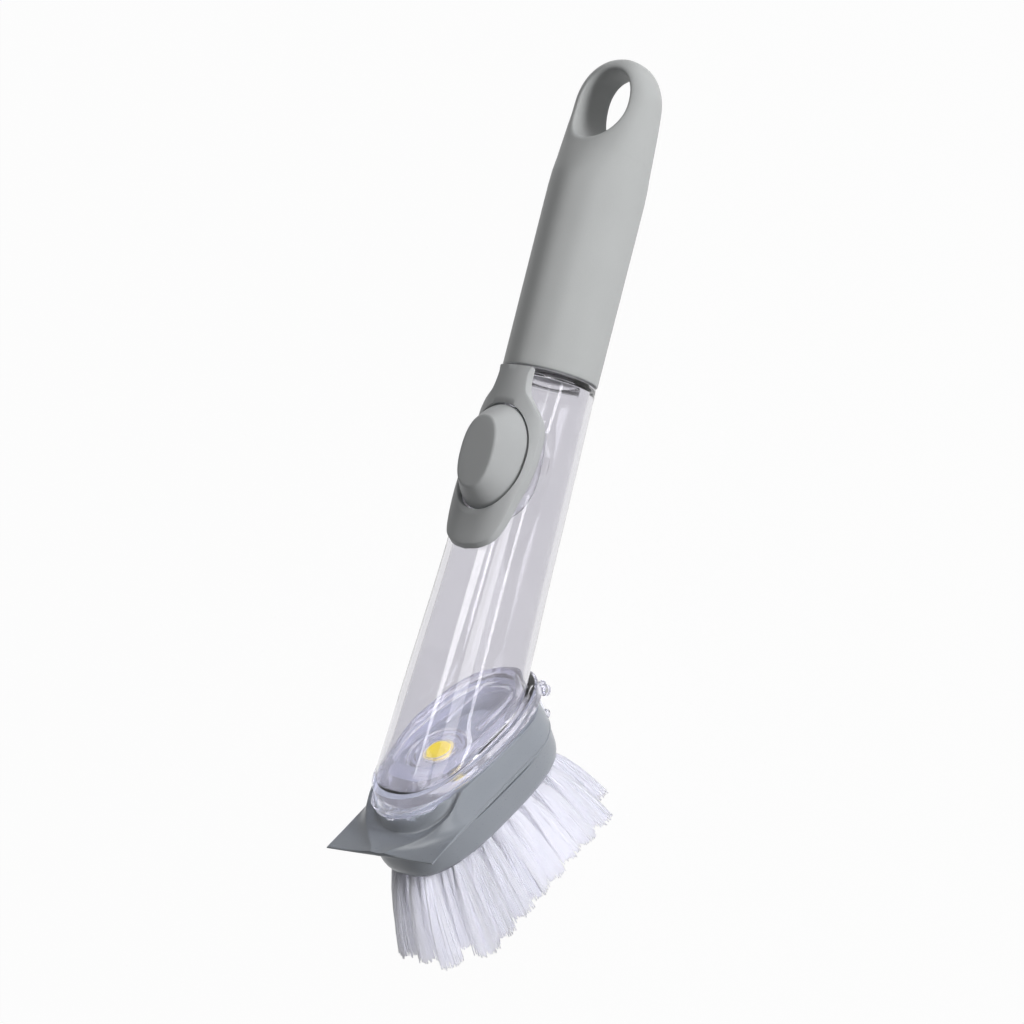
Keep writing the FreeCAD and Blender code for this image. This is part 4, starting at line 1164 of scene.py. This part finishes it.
# Bristle plate with its tuft holes, and the tufts
plate = {
    "sides": 128, "shift": -5.0, "halfLength": 32.8, "halfWidth": 19.2, "power": 2.8, "top": -11.2,
    "spigotTop": -6.75, "spigotHalfLength": 26.0, "spigotHalfWidth": 17.0, "outletRadius": 3.4,
    # level, inset along and inset across, from the upper edge down to the underside
    "side": (
        (-11.2, 0.5, 0.5), (-11.3, 0.18, 0.18), (-11.6, 0.0, 0.05), (-13.0, 0.0, 0.35), (-16.0, 0.0, 0.85),
        (-18.3, 0.08, 1.35), (-19.8, 0.35, 1.8), (-21.0, 0.85, 2.35), (-21.7, 1.45, 2.95), (-22.0, 2.3, 3.7)),
    "spigotEdge": 0.3, "notchReach": 27.0, "notchHalfWidth": 4.4, "notchBottom": -13.05, "overcut": 1.0}
tufts = {
    "rows": 10, "columns": 5, "rowPitch": 6.1, "columnPitch": 5.9, "margin": 2.0, "bottomHalfWidth": 16.2,
    "holeRadius": 1.75, "holeDepth": 6.0, "holeSides": 20, "rootRadius": 1.65, "rootSink": 0.5,
    "tipRadius": 4.1, "tipInset": 0.3, "toeLevel": -49.6, "heelLevel": -46.2, "levelShift": 0.4,
    "spreadAlong": 1.32, "spreadAcross": 1.45, "tipShift": 0.4, "strands": 150, "strandRadius": 0.2,
    "strandParts": 4, "shadeEvery": 70, "uneven": 0.9, "twist": 0.3, "stray": 0.35, "bow": 0.5,
    "bowLean": 0.08, "bowOut": 0.35, "curl": 0.8, "seed": 7}


def tuftRows():
    rows = []
    for row in range(tufts["rows"]):
        along = plate["shift"] + tufts["rowPitch"] * (row - (tufts["rows"] - 1) / 2)
        spots = []
        for column in range(tufts["columns"]):
            across = tufts["columnPitch"] * (column - (tufts["columns"] - 1) / 2)
            reachAlong = abs(along - plate["shift"]) / (plate["halfLength"] - tufts["margin"])
            reachAcross = abs(across) / (tufts["bottomHalfWidth"] - tufts["margin"])
            inside = reachAlong ** plate["power"] + reachAcross ** plate["power"] <= 1
            fromOutlet = math.hypot(along - base["valvePlace"], across)
            if inside and fromOutlet > plate["outletRadius"] + tufts["holeRadius"]:
                spots.append(Vector((along, across)))
        rows.append(spots)
    return rows


def makePlate():
    sides, shift, power, overcut = plate["sides"], plate["shift"], plate["power"], plate["overcut"]
    edge, spigotTop, bottom = plate["spigotEdge"], plate["spigotTop"], plate["side"][-1][0]

    def oval(insetAlong, insetAcross, level):
        return ovalRing(sides, shift, plate["halfLength"] - insetAlong, plate["halfWidth"] - insetAcross,
                        level, power)

    def spigot(inset, level):
        return ovalRing(sides, shift, plate["spigotHalfLength"] - inset, plate["spigotHalfWidth"] - inset,
                        level, power)

    def outlet(level):
        radius = plate["outletRadius"]
        return ovalRing(sides, base["valvePlace"], radius, radius, level, roundPower)

    rings = [outlet(bottom), outlet(spigotTop), spigot(edge, spigotTop), spigot(0, spigotTop - edge),
             spigot(0, plate["top"])]
    rings += [oval(along, across, level) for level, along, across in plate["side"]]
    holes, notch = bmesh.new(), bmesh.new()
    for spot in (spot for row in tuftRows() for spot in row):
        middle = bottom + tufts["holeDepth"] / 2 - overcut
        bmesh.ops.create_cone(
            holes, cap_ends=True, segments=tufts["holeSides"], radius1=tufts["holeRadius"],
            radius2=tufts["holeRadius"], depth=tufts["holeDepth"] + 2 * overcut,
            matrix=Matrix.Translation((spot.x, spot.y, middle)))
    addBlock(notch, (plate["notchReach"], -plate["notchHalfWidth"], plate["notchBottom"]),
             (plate["halfLength"], plate["notchHalfWidth"], plate["top"] + overcut))
    cuts = [("DIFFERENCE", meshOf("cut", bm)) for bm in (holes, notch)]
    body = carve(lofted("plate", rings + rings[:1]), cuts)
    addPiece("bristle_plate_skin", body, headFrame, "brush_head", shellGrey,
             ["bristle_plate"], sharp=35.0)
    print("bristle plate made")


def strandCurve(name):
    curve = bpy.data.curves.new(name, "CURVE")
    curve.dimensions = "3D"
    curve.bevel_depth = tufts["strandRadius"]
    curve.bevel_resolution = 0
    curve.use_fill_caps = True
    return curve


def addStrand(curve, root, tip, bow):
    spline = curve.splines.new("POLY")
    spline.points.add(tufts["strandParts"])     # a new spline already has its first point
    for index, point in enumerate(spline.points):
        share = index / tufts["strandParts"]
        spot = root.lerp(tip, share ** tufts["curl"]) + bow * math.sin(math.pi * share)
        point.co = (spot.x, spot.y, root.z + (tip.z - root.z) * share, 1.0)


def addTuft(curves, spot, lean, level, dice):
    rootLevel = plate["side"][-1][0] + tufts["rootSink"]
    for strand in range(tufts["strands"]):
        # the golden angle spreads the strands evenly over the tuft
        reach = math.sqrt((strand + 0.5) / tufts["strands"])
        angle = strand * math.pi * (3 - math.sqrt(5)) + dice.uniform(-tufts["twist"], tufts["twist"])
        way = Vector((math.cos(angle), math.sin(angle))) * reach
        root = spot + way * (tufts["rootRadius"] - tufts["strandRadius"])
        stray = Vector((dice.gauss(0, 1), dice.gauss(0, 1))) * tufts["stray"]
        tip = spot + lean + way * (tufts["tipRadius"] - tufts["tipInset"]) + stray
        tipLevel = level + dice.uniform(-0.5, 0.5) * tufts["uneven"]
        bow = (lean * tufts["bowLean"] + way * tufts["bowOut"]) * tufts["bow"]
        addStrand(curves[strand % tufts["shadeEvery"] == 0], Vector((root.x, root.y, rootLevel)),
                  Vector((tip.x, tip.y, tipLevel)), Vector((bow.x, bow.y, 0)))


def makeTufts():
    dice = random.Random(tufts["seed"])
    for number, row in enumerate(tuftRows(), 1):
        curves = [strandCurve("lit"), strandCurve("shading")]
        rowShare = (number - 1) / (tufts["rows"] - 1)
        rowLevel = tufts["toeLevel"] + (tufts["heelLevel"] - tufts["toeLevel"]) * rowShare
        for spot in row:
            lean = Vector(((spot.x - plate["shift"]) * (tufts["spreadAlong"] - 1) + tufts["tipShift"],
                           spot.y * (tufts["spreadAcross"] - 1)))
            level = rowLevel + tufts["levelShift"] + dice.uniform(-0.5, 0.5) * tufts["uneven"]
            addTuft(curves, spot, lean, level, dice)
        for curve, shading in zip(curves, (False, True)):
            holder = bpy.data.objects.new("strands", curve)
            bpy.context.collection.objects.link(holder)
            shaped = holder.evaluated_get(bpy.context.evaluated_depsgraph_get())
            mesh = bpy.data.meshes.new_from_object(shaped)
            bpy.data.objects.remove(holder)
            name = "tufts_row_%d_shading" % number if shading else "tufts_row_%d" % number
            nodes = [] if shading else ["bristle_row_%d" % number]
            piece = addPiece(name, mesh, headFrame, "brush_head", bristleWhite, nodes, sharp=80.0)
            piece.visible_shadow = shading      # most of the thin pale strands pass the light on
    for slotOf in frame["nodes"]["tuft_anchors"].material_slots:
        slotOf.material = pinSteel
    print("tufts made")


# Camera at the photograph's angle, given in the wand frame
view = {"turn": 45.0, "tip": -6.5, "roll": 14.3, "lens": 100.0, "sensor": 36.0, "imageSize": 1024,
        "rimPixel": (549.9, 377.2), "pixelSize": 0.30}


def cameraAxes():
    turn, tip, roll = (math.radians(view[name]) for name in ("turn", "tip", "roll"))
    towards = Vector((math.sin(tip), -math.cos(tip) * math.sin(turn), math.cos(tip) * math.cos(turn)))
    upright = (Vector((1, 0, 0)) - towards * towards.x).normalized()
    sideways = upright.cross(towards)
    right = sideways * math.cos(roll) + upright * math.sin(roll)
    up = upright * math.cos(roll) - sideways * math.sin(roll)
    return right, up, towards


def addCamera():
    right, up, towards = cameraAxes()
    distance = view["imageSize"] * view["lens"] / view["sensor"] * view["pixelSize"]
    half = view["imageSize"] / 2
    shiftRight = (view["rimPixel"][0] - half) * view["pixelSize"]
    shiftUp = (half - view["rimPixel"][1]) * view["pixelSize"]
    place = towards * distance - right * shiftRight - up * shiftUp
    lens = bpy.data.cameras.new("camera")
    lens.lens = view["lens"]
    lens.sensor_width = view["sensor"]
    lens.clip_start = 0.01
    camera = bpy.data.objects.new("camera", lens)
    bpy.context.collection.objects.link(camera)
    camera.matrix_world = Matrix.Translation(wandFrame @ place) @ wandTurn @ axesMatrix(right, up, towards)
    bpy.context.scene.camera = camera
    print("camera placed")


# Studio: pale floor, a low key light that no surface mirrors, an end light, and two lamps that show in
# glossy and clear surfaces but add no light to matt ones
studio = {
    "floorSize": 60.0, "floorColour": (0.9, 0.9, 0.9, 1.0), "floorWhite": 0.97, "fill": 0.20,
    # name, place in metres, length and width, power in watts
    "lamps": (
        ("key", (0.30, -0.85, 0.075), 0.70, 0.13, 7.4),
        ("end", (0.95, -0.12, 0.08), 0.40, 0.30, 2.0),
        ("strip", (0.12, -0.56, 0.66), 0.50, 0.56, 2.4),
        ("top", (0.40, 0.22, 0.72), 0.46, 0.30, 2.2)),
    "unmirrored": ("key",), "mirroredOnly": ("strip", "top"),
    "aim": (0.0, 0.0, 0.03)}


def whiteForCamera(nodes, links):       # 1 for rays that show the background: seen, mirrored or refracted
    path = nodes.new("ShaderNodeLightPath")
    total = None
    for ray in ("Is Camera Ray", "Is Glossy Ray", "Is Transmission Ray"):
        if total is None:
            total = path.outputs[ray]
            continue
        most = nodes.new("ShaderNodeMath")
        most.operation = "MAXIMUM"
        links.new(total, most.inputs[0])
        links.new(path.outputs[ray], most.inputs[1])
        total = most.outputs["Value"]
    return total


def addStudio():
    bm = bmesh.new()
    bmesh.ops.create_grid(bm, x_segments=2, y_segments=2, size=studio["floorSize"])
    floor = bpy.data.objects.new("floor", meshOf("floor", bm))
    bpy.context.collection.objects.link(floor)
    material, nodes, links = newMaterial("pale floor")
    shader = nodes["Principled BSDF"]
    shader.inputs["Base Color"].default_value = studio["floorColour"]
    shader.inputs["Roughness"].default_value = 0.9
    shader.inputs["Specular IOR Level"].default_value = 0.0
    glow = nodes.new("ShaderNodeEmission")
    share = nodes.new("ShaderNodeMath")
    share.operation = "MULTIPLY"
    share.inputs[1].default_value = studio["floorWhite"]
    mix = nodes.new("ShaderNodeMixShader")
    links.new(whiteForCamera(nodes, links), share.inputs[0])
    links.new(share.outputs["Value"], mix.inputs["Fac"])
    links.new(shader.outputs["BSDF"], mix.inputs[1])
    links.new(glow.outputs["Emission"], mix.inputs[2])
    links.new(mix.outputs["Shader"], nodes["Material Output"].inputs["Surface"])
    floor.data.materials.append(material)
    world = bpy.data.worlds.new("studio")
    bpy.context.scene.world = world
    world.use_nodes = True
    nodes, links = world.node_tree.nodes, world.node_tree.links
    soft = nodes["Background"]
    soft.inputs["Color"].default_value = (1.0, 1.0, 1.0, 1.0)
    soft.inputs["Strength"].default_value = studio["fill"]
    white = nodes.new("ShaderNodeBackground")
    mix = nodes.new("ShaderNodeMixShader")
    links.new(whiteForCamera(nodes, links), mix.inputs["Fac"])
    links.new(soft.outputs["Background"], mix.inputs[1])
    links.new(white.outputs["Background"], mix.inputs[2])
    links.new(mix.outputs["Shader"], nodes["World Output"].inputs["Surface"])
    for name, place, length, width, power in studio["lamps"]:
        lamp = bpy.data.lights.new(name, "AREA")
        lamp.shape = "RECTANGLE"
        lamp.size = length
        lamp.size_y = width
        lamp.energy = power
        holder = bpy.data.objects.new(name, lamp)
        bpy.context.collection.objects.link(holder)
        holder.visible_glossy = name not in studio["unmirrored"]
        holder.visible_diffuse = name not in studio["mirroredOnly"]
        holder.location = place
        holder.rotation_euler = (Vector(studio["aim"]) - Vector(place)).to_track_quat("-Z", "Y").to_euler()
    bpy.context.scene.view_settings.view_transform = "Standard"
    print("studio set")


makeGrip()
makeSocket()
makeTube()
makeBezel()
makeButton()
makeCup()
makeBase()
makeValve()
makeLatch()
makeShell()
makePlate()
makeTufts()
addCamera()
addStudio()
